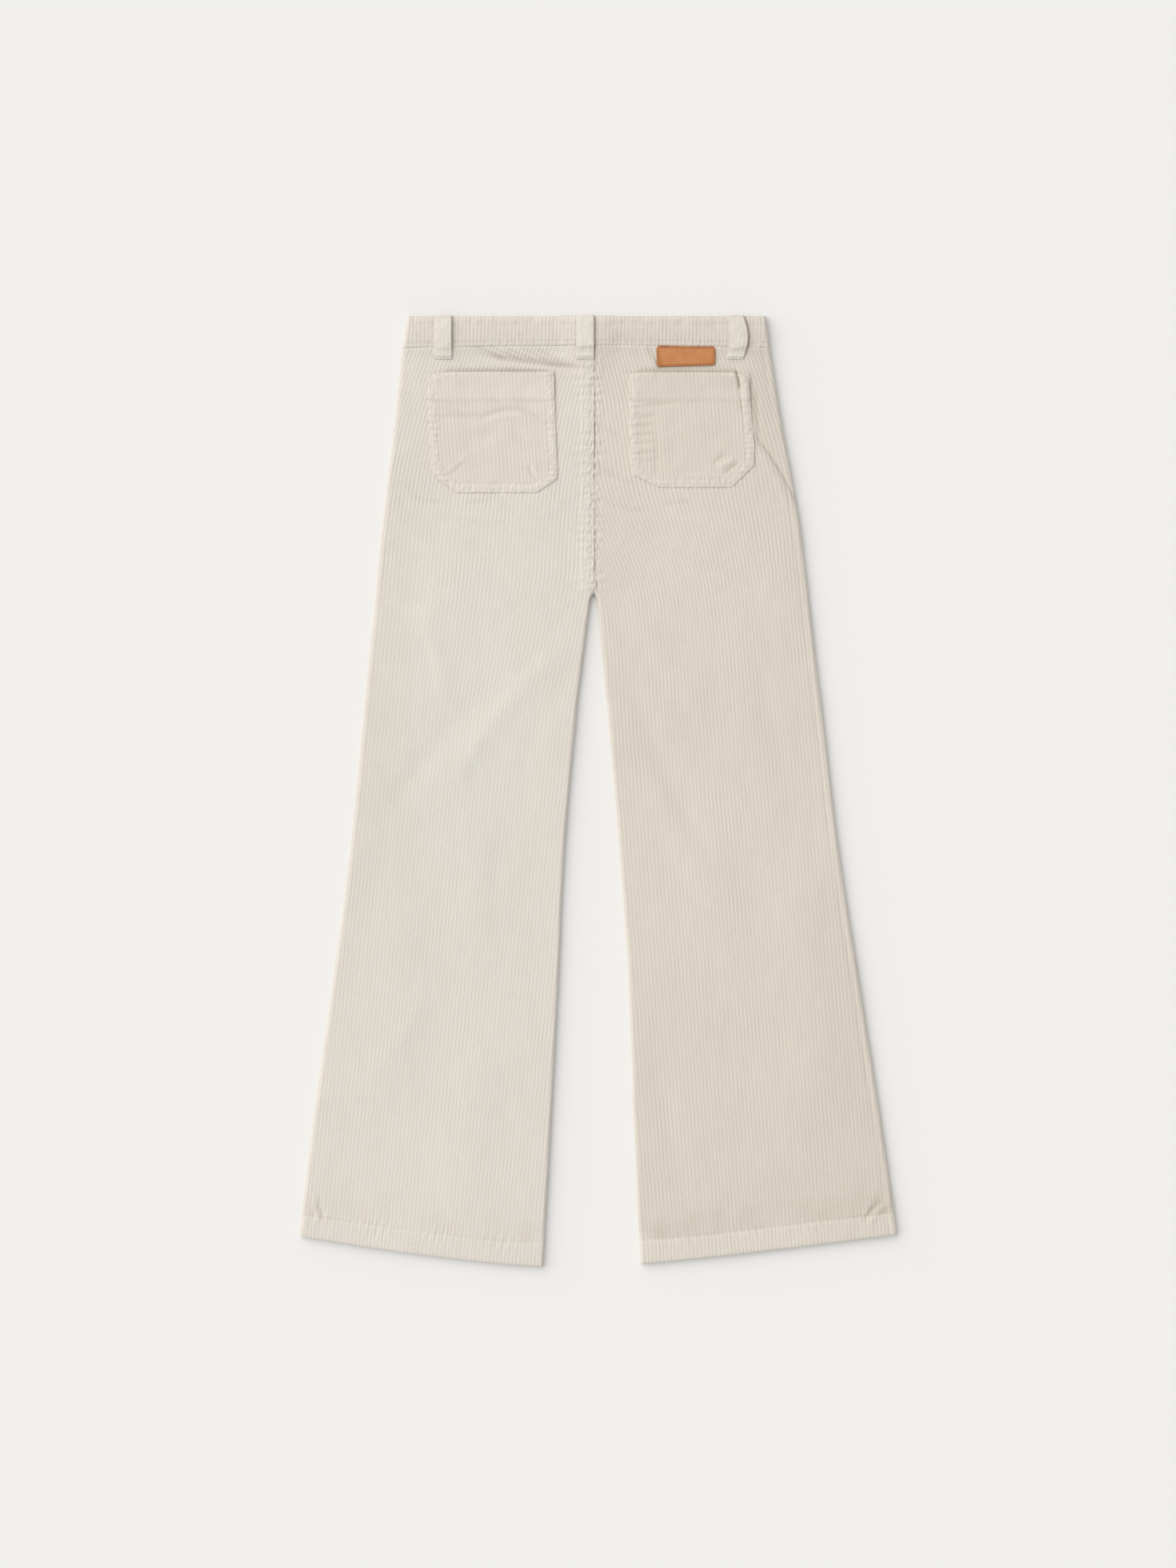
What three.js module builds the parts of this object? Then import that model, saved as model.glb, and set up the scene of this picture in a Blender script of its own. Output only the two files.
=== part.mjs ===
// A child's wide-leg corduroy trousers, laid flat on their front with the back up.
// Millimetres. +Z is up, +Y points to the waist and +X to the right as seen from above.
//
// Each piece is a thin wall worked out as rows of points. "drop" is the distance below the
// waist's top edge, and "out" the distance from the seat seam towards a side seam. The wearer's
// left side is at -X, because the trousers lie face down.
import * as THREE from 'three';

// Cloth: eight wales to the inch, standing on a ground weave.
const WALE_PITCH = 25.4 / 8;
const WALE_HEIGHT = 0.6;
const SEAM_GAP = 0.3;
const SEW_ON_GAP = 0.4;

// Heights above the surface the trousers lie on.
const SIDE_SEAM_Z = 3.2;
const BACK_Z = 6.0;
const BACK_WALL = 1.7;
const FRONT_WALL = 1.7;
const EDGE_ROUND = 7;
const RIM_WALL = 1.6;

// Waistband and hem.
const BAND_DEPTH = 25;
const BAND_SEAM_DIP = 2.2;
const BAND_WALL = 2.4;
const BAND_Z = 7.4;
const BAND_FRONT_WALL = 2.1;
const BAND_FOLD = 1.5;
const BAND_FOLD_DROP = 1.2;
const HEM_DEPTH = 20;
const HEM_RISE = 0.5;
const HEM_BACK_EXTRA = 0.65;
const HEM_FRONT_EXTRA = 1.3;

// Seat seam: the left back laps over the right in a raised, felled strip.
const FELL_WIDTH = 10.5;
const FELL_HEIGHT = 0.8;
const CROTCH_DROP = 233;

// Front opening: the wearer's right laps over the left as far down as the fly goes.
const FLY_LAP = 12;
const FLY_LIFT = FRONT_WALL + SEAM_GAP;
const FLY_STRAIGHT_DROP = 125;
const FLY_END_DROP = 160;
const FLY_RAMP = 18;
const TAB_OVERLAP = 14;
const TAB_RAMP = 16;

// Waist button, worn outside the lap, so it lies underneath.
const BUTTON_RADIUS = 7.5;
const BUTTON_THICKNESS = 1.6;
const BUTTON_OUT = 3;
const BUTTON_DROP = 12.5;
const BUTTON_BUMP_FLAT = 9;
const BUTTON_BUMP_REACH = 30;
const BUTTON_LIFT = BUTTON_THICKNESS + SEAM_GAP;

// Outline of each leg. spread is the share by which the wales stand wider than their pitch.
const LEFT = {
  side: -1,
  bandTop: 156.7,
  bandBottom: 160.8,
  hem: { inner: 42.5, outer: 247, drop: 799, rise: 25.5, power: 1.35 },
  outline: [
    { drop: 25, outseam: 160.6, inseam: 0 },
    { drop: 90, outseam: 167.3, inseam: 0 },
    { drop: 169, outseam: 176.9, inseam: 0 },
    { drop: 233, outseam: 183.2, inseam: 0 },
    { drop: 248, outseam: 184.7, inseam: 4 },
    { drop: 290, outseam: 189.0, inseam: 8.6 },
    { drop: 327, outseam: 192.7, inseam: 13.9 },
    { drop: 446, outseam: 204.3, inseam: 24.4 },
    { drop: 565, outseam: 220.1, inseam: 30.0 },
    { drop: 684, outseam: 236.9, inseam: 36.3 },
    { drop: 802, outseam: 250.4, inseam: 42.8 },
  ],
  grain: [
    { drop: 0, lean: 22, spread: 1.0 },
    { drop: 64, lean: 18, spread: 1.02 },
    { drop: 103, lean: 14, spread: 1.04 },
    { drop: 143, lean: 9.5, spread: 1.05 },
    { drop: 180, lean: 6, spread: 1.06 },
    { drop: 222, lean: 5.5, spread: 1.07 },
    { drop: 262, lean: 6, spread: 1.05 },
    { drop: 340, lean: 6, spread: 1.0 },
    { drop: 802, lean: 6, spread: 1.0 },
  ],
};
const RIGHT = {
  side: 1,
  bandTop: 145,
  bandBottom: 148.1,
  hem: { inner: 39.5, outer: 255.4, drop: 796.5, rise: 24.6, power: 1.15 },
  outline: [
    { drop: 25, outseam: 148.1, inseam: 0 },
    { drop: 90, outseam: 158.4, inseam: 0 },
    { drop: 169, outseam: 172.6, inseam: 0 },
    { drop: 233, outseam: 180.5, inseam: 0 },
    { drop: 248, outseam: 182.2, inseam: 1.8 },
    { drop: 290, outseam: 187.0, inseam: 6.8 },
    { drop: 327, outseam: 191.7, inseam: 11.2 },
    { drop: 446, outseam: 205.9, inseam: 21.5 },
    { drop: 565, outseam: 224.4, inseam: 29.7 },
    { drop: 684, outseam: 242.9, inseam: 34.0 },
    { drop: 802, outseam: 259.7, inseam: 39.5 },
  ],
  grain: [
    { drop: 0, lean: 20, spread: 1.0 },
    { drop: 64, lean: 18, spread: 1.05 },
    { drop: 103, lean: 15, spread: 1.1 },
    { drop: 143, lean: 10, spread: 1.12 },
    { drop: 180, lean: 8, spread: 1.06 },
    { drop: 222, lean: 6, spread: 0.97 },
    { drop: 262, lean: 5.5, spread: 0.95 },
    { drop: 340, lean: 5.5, spread: 0.97 },
    { drop: 450, lean: 5.7, spread: 0.99 },
    { drop: 600, lean: 4.8, spread: 1.0 },
    { drop: 802, lean: 4.3, spread: 1.0 },
  ],
};

// Folds in the back, as soft ridges (lift over 0) and troughs. The ends are given by out and drop.
// A wide one moves the whole wall, and a narrow one only its outer face.
const WIDE_FOLD = 16;
const FOLDS = [
  { leg: LEFT, out: 86, drop: 34, toOut: 14, toDrop: 43, width: 3.2, lift: -0.7 },
  { leg: LEFT, out: 84, drop: 30, toOut: 24, toDrop: 37, width: 4.5, lift: 0.5 },
  { leg: LEFT, out: 8, drop: 250, toOut: 80, toDrop: 335, width: 11, lift: 0.6 },
  { leg: LEFT, out: 14, drop: 285, toOut: 62, toDrop: 395, width: 8, lift: -0.5 },
  { leg: LEFT, out: 120, drop: 180, toOut: 130, toDrop: 330, width: 22, lift: 0.6 },
  { leg: LEFT, out: 70, drop: 400, toOut: 110, toDrop: 560, width: 26, lift: 0.7 },
  { leg: LEFT, out: 150, drop: 470, toOut: 175, toDrop: 650, width: 24, lift: 0.5 },
  { leg: LEFT, out: 90, drop: 610, toOut: 112, toDrop: 760, width: 22, lift: 0.5 },
  { leg: RIGHT, out: 139, drop: 102, toOut: 174, toDrop: 164, width: 3.2, lift: -0.7 },
  { leg: RIGHT, out: 133, drop: 104, toOut: 167, toDrop: 168, width: 6, lift: 0.8 },
  { leg: RIGHT, out: 41, drop: 29, toOut: 52, toDrop: 42, width: 4, lift: 0.6 },
  { leg: RIGHT, out: 8, drop: 252, toOut: 74, toDrop: 350, width: 10, lift: 0.6 },
  { leg: RIGHT, out: 22, drop: 290, toOut: 84, toDrop: 430, width: 8, lift: -0.5 },
  { leg: RIGHT, out: 110, drop: 190, toOut: 128, toDrop: 350, width: 24, lift: 0.6 },
  { leg: RIGHT, out: 95, drop: 400, toOut: 120, toDrop: 570, width: 26, lift: 0.7 },
  { leg: RIGHT, out: 170, drop: 480, toOut: 190, toDrop: 660, width: 22, lift: 0.5 },
  { leg: RIGHT, out: 230, drop: 752, toOut: 243, toDrop: 738, width: 3, lift: -0.5 },
];

// Patch pockets, as drawn by their edges nearest to and furthest from the seat seam.
const POCKET_WALL = 1.2;
const POCKET_FACING = 24.4;
const POCKET_FACING_RISE = 0.4;
const POCKET_MOUTH_RISE = 0.5;
const POCKET_LEAN = 4;
const POCKETS = [
  {
    name: 'pocket_left', leg: LEFT,
    rows: [
      { drop: 47.5, near: 34.5, far: 121 },
      { drop: 52, near: 33.2, far: 138.5 },
      { drop: 70.5, near: 32.8, far: 139.3 },
      { drop: 73.4, near: 32.6, far: 139.3 },
      { drop: 110, near: 31.2, far: 137.8 },
      { drop: 130, near: 30.2, far: 136 },
      { drop: 136.5, near: 30.4, far: 132.5 },
      { drop: 148.7, near: 48, far: 115 },
    ],
  },
  {
    name: 'pocket_right', leg: RIGHT,
    rows: [
      { drop: 47.7, near: 42, far: 117 },
      { drop: 50, near: 30, far: 123 },
      { drop: 54.5, near: 29.8, far: 130.5 },
      { drop: 70.7, near: 29.9, far: 131.6 },
      { drop: 73.6, near: 30, far: 131.9 },
      { drop: 105, near: 30.4, far: 135 },
      { drop: 127, near: 31, far: 134.8 },
      { drop: 134.5, near: 34.5, far: 126.5 },
      { drop: 144.2, near: 55, far: 116 },
    ],
  },
];

// Belt loops of folded cloth, tacked at the waist's top edge and below the band. bow is how far
// the middle of a loop lies to the right of its two ends.
const LOOP_WIDTH = 15.5;
const LOOP_WALL = 1.3;
const LOOP_END_DROP = 36.5;
const LOOP_SPACE = 0.9;
const LOOP_TACK = 4;
const LOOPS = [
  { name: 'belt_loop_left', x: -126.7, bow: 0 },
  { name: 'belt_loop_centre', x: -7.2, bow: 0 },
  { name: 'belt_loop_right', x: 118, bow: 4 },
];

// Leather patch below the band on the wearer's right, a little lower at its near end.
const PATCH = { near: 53, far: 102, top: 26.3, nearBottom: 43.2, farBottom: 41.6, thickness: 1.2 };

const CLOTH_COLOUR = 0xded6c8;
const LEATHER_COLOUR = 0xcf8a4b;
const BUTTON_COLOUR = 0xd8cfbf;

const clamp = (t) => Math.min(1, Math.max(0, t));
const smooth = (from, to, t) => {
  const s = clamp((t - from) / (to - from));
  return s * s * (3 - 2 * s);
};
const mix = (a, b, t) => a + (b - a) * t;

// The value of one column of a table at a drop, on a smooth curve through its rows.
function column(rows, name, drop) {
  let i = 0;
  while (i < rows.length - 2 && rows[i + 1].drop < drop) i += 1;
  const a = rows[i];
  const b = rows[i + 1];
  const span = b.drop - a.drop;
  const before = rows[Math.max(0, i - 1)];
  const after = rows[Math.min(rows.length - 1, i + 2)];
  const slopeA = ((b[name] - before[name]) / (b.drop - before.drop)) * span;
  const slopeB = ((after[name] - a[name]) / (after.drop - a.drop)) * span;
  const t = clamp((drop - a.drop) / span);
  const past = drop - a.drop - t * span;
  return (
    (2 * t ** 3 - 3 * t ** 2 + 1) * a[name] +
    (t ** 3 - 2 * t ** 2 + t) * slopeA +
    (3 * t ** 2 - 2 * t ** 3) * b[name] +
    (t ** 3 - t ** 2) * slopeB +
    (past * (b[name] - a[name])) / span
  );
}

// The seam under the waistband dips a little towards the sides.
const bandDrop = (x) => BAND_DEPTH + BAND_SEAM_DIP * (x / LEFT.bandBottom) ** 2;

// The hem's lower edge rises from the inseam to the outseam.
function hemDrop(leg, out) {
  const t = clamp((out - leg.hem.inner) / (leg.hem.outer - leg.hem.inner));
  return leg.hem.drop - leg.hem.rise * t ** leg.hem.power;
}

// Share of full height at a distance from a rounded edge: a quarter of an ellipse.
const rounded = (distance, reach = EDGE_ROUND) => {
  const t = clamp(1 - distance / reach);
  return Math.sqrt(1 - t * t);
};

// The middle wale's path down each leg, by adding up its lean millimetre by millimetre.
function spineOf(leg) {
  const path = [];
  let out = column(leg.outline, 'outseam', 0) - 45;
  for (let drop = 0; drop <= 830; drop += 1) {
    path.push(out);
    out += Math.tan(THREE.MathUtils.degToRad(column(leg.grain, 'lean', drop)));
  }
  return (drop) => {
    const i = Math.min(path.length - 2, Math.floor(Math.max(0, drop)));
    return mix(path[i], path[i + 1], drop - i);
  };
}
LEFT.spine = spineOf(LEFT);
RIGHT.spine = spineOf(RIGHT);

// How far a point lies along the cross grain: whole multiples of the pitch are wale tops.
const crossGrain = (leg, out, drop) =>
  (out - leg.spine(drop)) / column(leg.grain, 'spread', drop);
const outOfGrain = (leg, grain, drop) =>
  leg.spine(drop) + grain * column(leg.grain, 'spread', drop);

// Height that the folds add to the back at a point.
function foldLift(leg, out, drop, wideOnly) {
  let lift = 0;
  for (const fold of FOLDS) {
    if (fold.leg !== leg || (wideOnly && fold.width < WIDE_FOLD)) continue;
    const runOut = fold.toOut - fold.out;
    const runDrop = fold.toDrop - fold.drop;
    const length = Math.hypot(runOut, runDrop);
    const t = ((out - fold.out) * runOut + (drop - fold.drop) * runDrop) / length ** 2;
    const aside = ((out - fold.out) * runDrop - (drop - fold.drop) * runOut) / length;
    const ends = smooth(-0.25, 0.2, t) * (1 - smooth(0.8, 1.25, t));
    lift += fold.lift * ends * Math.exp(-((aside / fold.width) ** 2));
  }
  return lift;
}

// The bump that the waist button makes in everything above it.
const buttonBump = (x, drop) => {
  const distance = Math.hypot(x + BUTTON_OUT, (drop - BUTTON_DROP) * 0.6);
  return BUTTON_LIFT * (1 - smooth(BUTTON_BUMP_FLAT, BUTTON_BUMP_REACH, distance));
};

// Outer face of a back panel between its wales.
function backFace(leg, out, drop, wideOnly = false) {
  const fromSide = column(leg.outline, 'outseam', drop) - out;
  const fromInseam = out - column(leg.outline, 'inseam', drop);
  const legEdge = smooth(CROTCH_DROP - 4, CROTCH_DROP + 12, drop);
  const round = rounded(fromSide) * mix(1, rounded(fromInseam), legEdge);
  let z = BACK_Z + foldLift(leg, out, drop, wideOnly) + buttonBump(leg.side * out, drop);
  if (!wideOnly && leg === LEFT) {
    z += FELL_HEIGHT * (1 - smooth(FELL_WIDTH - 2, FELL_WIDTH + 1, out)) * (1 - legEdge);
  }
  return mix(SIDE_SEAM_Z + SEAM_GAP / 2, z, round);
}

// Outer face of the back waistband between its wales.
function bandFace(x, drop) {
  const leg = x < 0 ? LEFT : RIGHT;
  const end = mix(leg.bandTop, leg.bandBottom, drop / BAND_DEPTH);
  const fold = BAND_FOLD_DROP * (1 - smooth(0, BAND_FOLD, drop));
  const z = BAND_Z - fold + buttonBump(x, drop);
  return mix(SIDE_SEAM_Z + SEAM_GAP / 2, z, rounded(end - Math.abs(x)));
}

// The wale tops of whatever lies on the back at a point.
const backTop = (x, drop) => {
  const leg = x < 0 ? LEFT : RIGHT;
  const face = drop < bandDrop(x) + 2 ? bandFace(x, drop) : backFace(leg, Math.abs(x), drop);
  return Math.max(face, backFace(leg, Math.abs(x), drop)) + WALE_HEIGHT;
};

// Two rows of points joined by triangles, in the order of one of their values.
function stitch(rowA, rowB, key, faces) {
  let i = 0;
  let j = 0;
  while (i < rowA.length - 1 || j < rowB.length - 1) {
    const nextA = i < rowA.length - 1 ? rowA[i + 1][key] : Infinity;
    const nextB = j < rowB.length - 1 ? rowB[j + 1][key] : Infinity;
    if (nextA <= nextB) {
      faces.push(rowA[i].id, rowA[i + 1].id, rowB[j].id);
      i += 1;
    } else {
      faces.push(rowA[i].id, rowB[j + 1].id, rowB[j].id);
      j += 1;
    }
  }
}

// A closed wall between an outer and an inner face, each given as rows of points. Both faces have
// the same number of rows. A point is {x, y, z} with out and grain, the values that order a row.
function wall(outerRows, innerRows) {
  const points = [...outerRows.flat(), ...innerRows.flat()];
  points.forEach((point, id) => {
    point.id = id;
  });
  const faces = [];
  const back = [];
  const last = outerRows.length - 1;
  for (let j = 0; j < last; j += 1) {
    stitch(outerRows[j], outerRows[j + 1], 'grain', faces);
    stitch(innerRows[j], innerRows[j + 1], 'grain', back);
    const [outA, outB] = [outerRows[j], outerRows[j + 1]];
    const [inA, inB] = [innerRows[j], innerRows[j + 1]];
    faces.push(outA[0].id, outB[0].id, inB[0].id, outA[0].id, inB[0].id, inA[0].id);
    back.push(outA.at(-1).id, outB.at(-1).id, inB.at(-1).id);
    back.push(outA.at(-1).id, inB.at(-1).id, inA.at(-1).id);
  }
  stitch(outerRows[0], innerRows[0], 'out', back);
  stitch(outerRows[last], innerRows[last], 'out', faces);
  for (let i = 0; i < back.length; i += 3) faces.push(back[i], back[i + 2], back[i + 1]);

  let volume = 0;
  const [a, b, c] = [new THREE.Vector3(), new THREE.Vector3(), new THREE.Vector3()];
  for (let i = 0; i < faces.length; i += 3) {
    a.copy(points[faces[i]]);
    b.copy(points[faces[i + 1]]);
    c.copy(points[faces[i + 2]]);
    volume += a.dot(b.cross(c));
  }
  if (volume < 0) faces.reverse();
  const positions = points.flatMap((point) => [point.x, point.y, point.z]);
  const geometry = new THREE.BufferGeometry();
  geometry.setAttribute('position', new THREE.Float32BufferAttribute(positions, 3));
  geometry.setIndex(faces);
  geometry.computeVertexNormals();
  return geometry;
}

const point = (side, out, drop, z, grain = out) => ({ x: side * out, y: -drop, z, out, grain });

// One row of a ribbed face: its two ends, and between them a wale top and a wale foot in turn.
function ribbedRow({ side, ends, place, faceZ, ribHeight, grainAt, outAt }) {
  const half = WALE_PITCH / 2;
  const [first, final] = ends;
  const end = (out) => point(side, out, place(out), faceZ(out, place(out)), grainAt(out, place(out)));
  const row = [end(first)];
  const finish = end(final);
  for (let i = Math.ceil(row[0].grain / half); i * half < finish.grain; i += 1) {
    let out = mix(first, final, 0.5);
    for (let pass = 0; pass < 6; pass += 1) out = outAt(i * half, place(out));
    if (out < first + 0.35 || out > final - 0.35) continue;
    const rib = i % 2 ? 0 : ribHeight(out, place(out));
    row.push(point(side, out, place(out), faceZ(out, place(out)) + rib, i * half));
  }
  row.push(finish);
  return row;
}

// Heights down a leg at which a panel has a row, from the band's seam to the crotch and below it.
const HIP_ROWS = [38, 51, 70, 96, 124, FLY_END_DROP, 200];
const LEG_ROWS = [246, 270, 312, 380, 470, 575, 685];
const HEM_ROWS = [HEM_DEPTH + 1.2, HEM_DEPTH - 1.2, 1.2, 0];

// A panel's rows slant more and more towards the hem's slope. Each is a function of out.
function panelRows(leg) {
  const top = (out) => bandDrop(out) + SEAM_GAP / 2;
  const rows = [top];
  for (const drop of [...HIP_ROWS, CROTCH_DROP, ...LEG_ROWS]) {
    const share = (drop - top(0)) / (leg.hem.drop - top(0));
    rows.push((out) => mix(top(out), hemDrop(leg, out), share));
  }
  for (const above of HEM_ROWS) rows.push((out) => hemDrop(leg, out) - above);
  return rows;
}

// Where a row meets an edge that is itself given by drop.
function meet(edge, place, start) {
  let out = start;
  for (let pass = 0; pass < 8; pass += 1) out = edge(place(out));
  return out;
}

// Distances in from a rounded edge at which a plain face has its points.
const ROUND_STEPS = [0, 0.7, 2, 4.2, EDGE_ROUND];
const CENTRE_STEPS = [0, 6, FLY_LAP, FLY_LAP + 5, FLY_LAP + 11, FLY_LAP + FLY_RAMP];

// One row of a plain face, with its points at steps from both ends and a few between.
function plainRow({ side, ends, place, faceZ, firstSteps }) {
  const [first, final] = ends;
  const outs = [
    ...firstSteps.map((step) => first + step),
    ...[0.3, 0.6].map((t) => mix(first + firstSteps.at(-1), final - ROUND_STEPS.at(-1), t)),
    ...ROUND_STEPS.map((step) => final - step).reverse(),
  ];
  return outs.map((out, i) => point(side, out, place(out), faceZ(out, place(out)), i));
}

// How near a place is to the hem, as a share: 1 on the turned-up cloth.
const onHem = (leg, out, drop) =>
  smooth(hemDrop(leg, out) - HEM_DEPTH - 1.2, hemDrop(leg, out) - HEM_DEPTH + 1.2, drop);

function backPanel(leg) {
  const outer = [];
  const inner = [];
  const inseam = (drop) => Math.max(SEAM_GAP / 2, column(leg.outline, 'inseam', drop));
  const outseam = (drop) => column(leg.outline, 'outseam', drop);
  for (const place of panelRows(leg)) {
    const ends = [meet(inseam, place, 20), meet(outseam, place, 200)];
    const atEdge = (drop) => smooth(CROTCH_DROP - 4, CROTCH_DROP + 12, drop);
    const faceZ = (out, drop) => {
      const fold = hemDrop(leg, out) - drop;
      const turn = 0.6 * (1 - smooth(0, 1.2, fold));
      const share = rounded(outseam(drop) - out) * mix(1, rounded(out - inseam(drop)), atEdge(drop));
      return backFace(leg, out, drop) + (HEM_RISE * onHem(leg, out, drop) - turn) * share;
    };
    const ribHeight = (out, drop) =>
      WALE_HEIGHT * rounded(outseam(drop) - out) * mix(1, rounded(out - inseam(drop)), atEdge(drop));
    outer.push(ribbedRow({
      side: leg.side,
      ends,
      place,
      faceZ,
      ribHeight,
      grainAt: (out, drop) => crossGrain(leg, out, drop),
      outAt: (grain, drop) => outOfGrain(leg, grain, drop),
    }));
    const inset = (out) => RIM_WALL * atEdge(place(out));
    const innerEnds = [ends[0] + inset(ends[0]), ends[1] - RIM_WALL];
    const innerZ = (out, drop) => {
      const deep = BACK_WALL + HEM_BACK_EXTRA * onHem(leg, out, drop);
      const fromSide = rounded(innerEnds[1] - out, EDGE_ROUND - RIM_WALL);
      const fromInseam = mix(1, rounded(out - innerEnds[0], EDGE_ROUND - RIM_WALL), atEdge(drop));
      const rim = SIDE_SEAM_Z + SEAM_GAP / 2;
      const lift = foldLift(leg, out, drop, true) + buttonBump(leg.side * out, drop);
      return mix(rim, BACK_Z + lift - deep, fromSide * fromInseam);
    };
    inner.push(plainRow({ side: leg.side, ends: innerEnds, place, faceZ: innerZ, firstSteps: ROUND_STEPS }));
  }
  return wall(outer, inner);
}

function frontPanel(leg) {
  const outer = [];
  const inner = [];
  const laps = leg === RIGHT;
  const flyShare = (drop) => 1 - smooth(FLY_STRAIGHT_DROP, FLY_END_DROP, drop);
  const lap = (drop) => (laps ? -FLY_LAP * Math.sqrt(flyShare(drop)) : 0);
  const inseam = (drop) => Math.max(SEAM_GAP / 2, column(leg.outline, 'inseam', drop)) + lap(drop);
  const outseam = (drop) => column(leg.outline, 'outseam', drop);
  const rim = SIDE_SEAM_Z - SEAM_GAP / 2;
  const lift = (out, drop) => {
    if (laps) return buttonBump(leg.side * out, drop);
    const under = 1 - smooth(FLY_LAP + 1, FLY_LAP + FLY_RAMP, out);
    const fades = 1 - smooth(FLY_END_DROP, FLY_END_DROP + 40, drop);
    return FLY_LIFT * under * fades + buttonBump(leg.side * out, drop);
  };
  for (const place of panelRows(leg)) {
    const ends = [meet(inseam, place, 20), meet(outseam, place, 200)];
    const atEdge = smooth(CROTCH_DROP - 4, CROTCH_DROP + 12, place(ends[0]));
    const outerZ = (out, drop) => {
      const share = rounded(ends[1] - out) * mix(1, rounded(out - ends[0]), atEdge);
      return mix(rim, lift(out, drop), share);
    };
    outer.push(plainRow({ side: leg.side, ends, place, faceZ: outerZ, firstSteps: CENTRE_STEPS }));
    const innerEnds = [ends[0] + RIM_WALL * atEdge, ends[1] - RIM_WALL];
    const innerZ = (out, drop) => {
      const reach = EDGE_ROUND - RIM_WALL;
      const share = rounded(innerEnds[1] - out, reach) * mix(1, rounded(out - innerEnds[0], reach), atEdge);
      const deep = FRONT_WALL + HEM_FRONT_EXTRA * onHem(leg, out, drop);
      return mix(rim, lift(out, drop) + deep, share);
    };
    inner.push(plainRow({ side: leg.side, ends: innerEnds, place, faceZ: innerZ, firstSteps: CENTRE_STEPS }));
  }
  return wall(outer, inner);
}

// The back waistband runs from side to side, with its wales upright.
function waistbandBack() {
  const outer = [];
  const inner = [];
  for (const share of [0, BAND_FOLD / BAND_DEPTH, 1]) {
    const place = (x) => (bandDrop(x) - SEAM_GAP / 2) * share;
    const endAt = (leg) => mix(leg.bandTop, leg.bandBottom, share);
    const ends = [-endAt(LEFT), endAt(RIGHT)];
    outer.push(ribbedRow({
      side: 1,
      ends,
      place,
      faceZ: bandFace,
      ribHeight: (x) => WALE_HEIGHT * rounded(ends[1] - x) * rounded(x - ends[0]),
      grainAt: (x) => x,
      outAt: (grain) => grain,
    }));
    const innerEnds = [ends[0] + RIM_WALL, ends[1] - RIM_WALL];
    const reach = EDGE_ROUND - RIM_WALL;
    const innerZ = (x, drop) => {
      const under = BAND_Z - BAND_WALL + buttonBump(x, drop);
      const round = rounded(innerEnds[1] - x, reach) * rounded(x - innerEnds[0], reach);
      return mix(SIDE_SEAM_Z + SEAM_GAP / 2, under, round);
    };
    inner.push(bandRow(innerEnds, place, innerZ));
  }
  return wall(outer, inner);
}

// One row of a plain face across the waistband, closer set over the button.
const BUTTON_STEPS = [-132, -105, -80, -55, -32, -22, -16, -9, 0, 6, 13, 20, 28, 52, 76, 100, 122];
function bandRow(ends, place, faceZ) {
  const [first, final] = ends;
  const xs = [
    ...ROUND_STEPS.map((step) => first + step),
    ...BUTTON_STEPS.filter((x) => x > first + EDGE_ROUND && x < final - EDGE_ROUND),
    ...ROUND_STEPS.map((step) => final - step).reverse(),
  ];
  return xs.map((x, i) => point(1, x, place(x), faceZ(x, place(x)), i));
}

// Half of the front waistband. The wearer's right ends in the outer tab, the left under it.
function waistbandFront(leg) {
  const outer = [];
  const inner = [];
  const isOuter = leg === RIGHT;
  const tabEnd = isOuter ? -TAB_OVERLAP : TAB_OVERLAP;
  const rim = SIDE_SEAM_Z - SEAM_GAP / 2;
  const lift = (x, drop) => {
    const over = smooth(-TAB_OVERLAP - TAB_RAMP - 1, -TAB_OVERLAP - 1, x);
    return buttonBump(x, drop) + (isOuter ? 0 : (BAND_FRONT_WALL + SEAM_GAP) * over);
  };
  for (const share of [0, BAND_FOLD / BAND_DEPTH, 0.5, 1]) {
    const place = (x) => (bandDrop(x) - SEAM_GAP / 2) * share;
    const end = leg.side * mix(leg.bandTop, leg.bandBottom, share);
    const insideEnd = end - leg.side * RIM_WALL;
    const fromSide = (x, at, reach) => rounded(leg.side * (at - x), reach);
    const outerZ = (x, drop) => mix(rim, lift(x, drop), fromSide(x, end, EDGE_ROUND));
    const innerZ = (x, drop) =>
      mix(rim, lift(x, drop) + BAND_FRONT_WALL, fromSide(x, insideEnd, EDGE_ROUND - RIM_WALL));
    const order = (a, b) => [Math.min(a, b), Math.max(a, b)];
    outer.push(frontBandRow(order(end, tabEnd), isOuter, place, outerZ));
    inner.push(frontBandRow(order(insideEnd, tabEnd), isOuter, place, innerZ));
  }
  return wall(outer, inner);
}

function frontBandRow(ends, isOuter, place, faceZ) {
  const [first, final] = ends;
  const sideSteps = isOuter ? ROUND_STEPS.map((step) => final - step) : ROUND_STEPS.map((step) => first + step);
  const tabEnd = isOuter ? first : final;
  const xs = [...sideSteps, tabEnd, ...BUTTON_STEPS.filter((x) => x > first + 2 && x < final - 2)];
  xs.sort((a, b) => a - b);
  return xs.map((x, i) => point(1, x, place(x), faceZ(x, place(x)), i));
}

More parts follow.
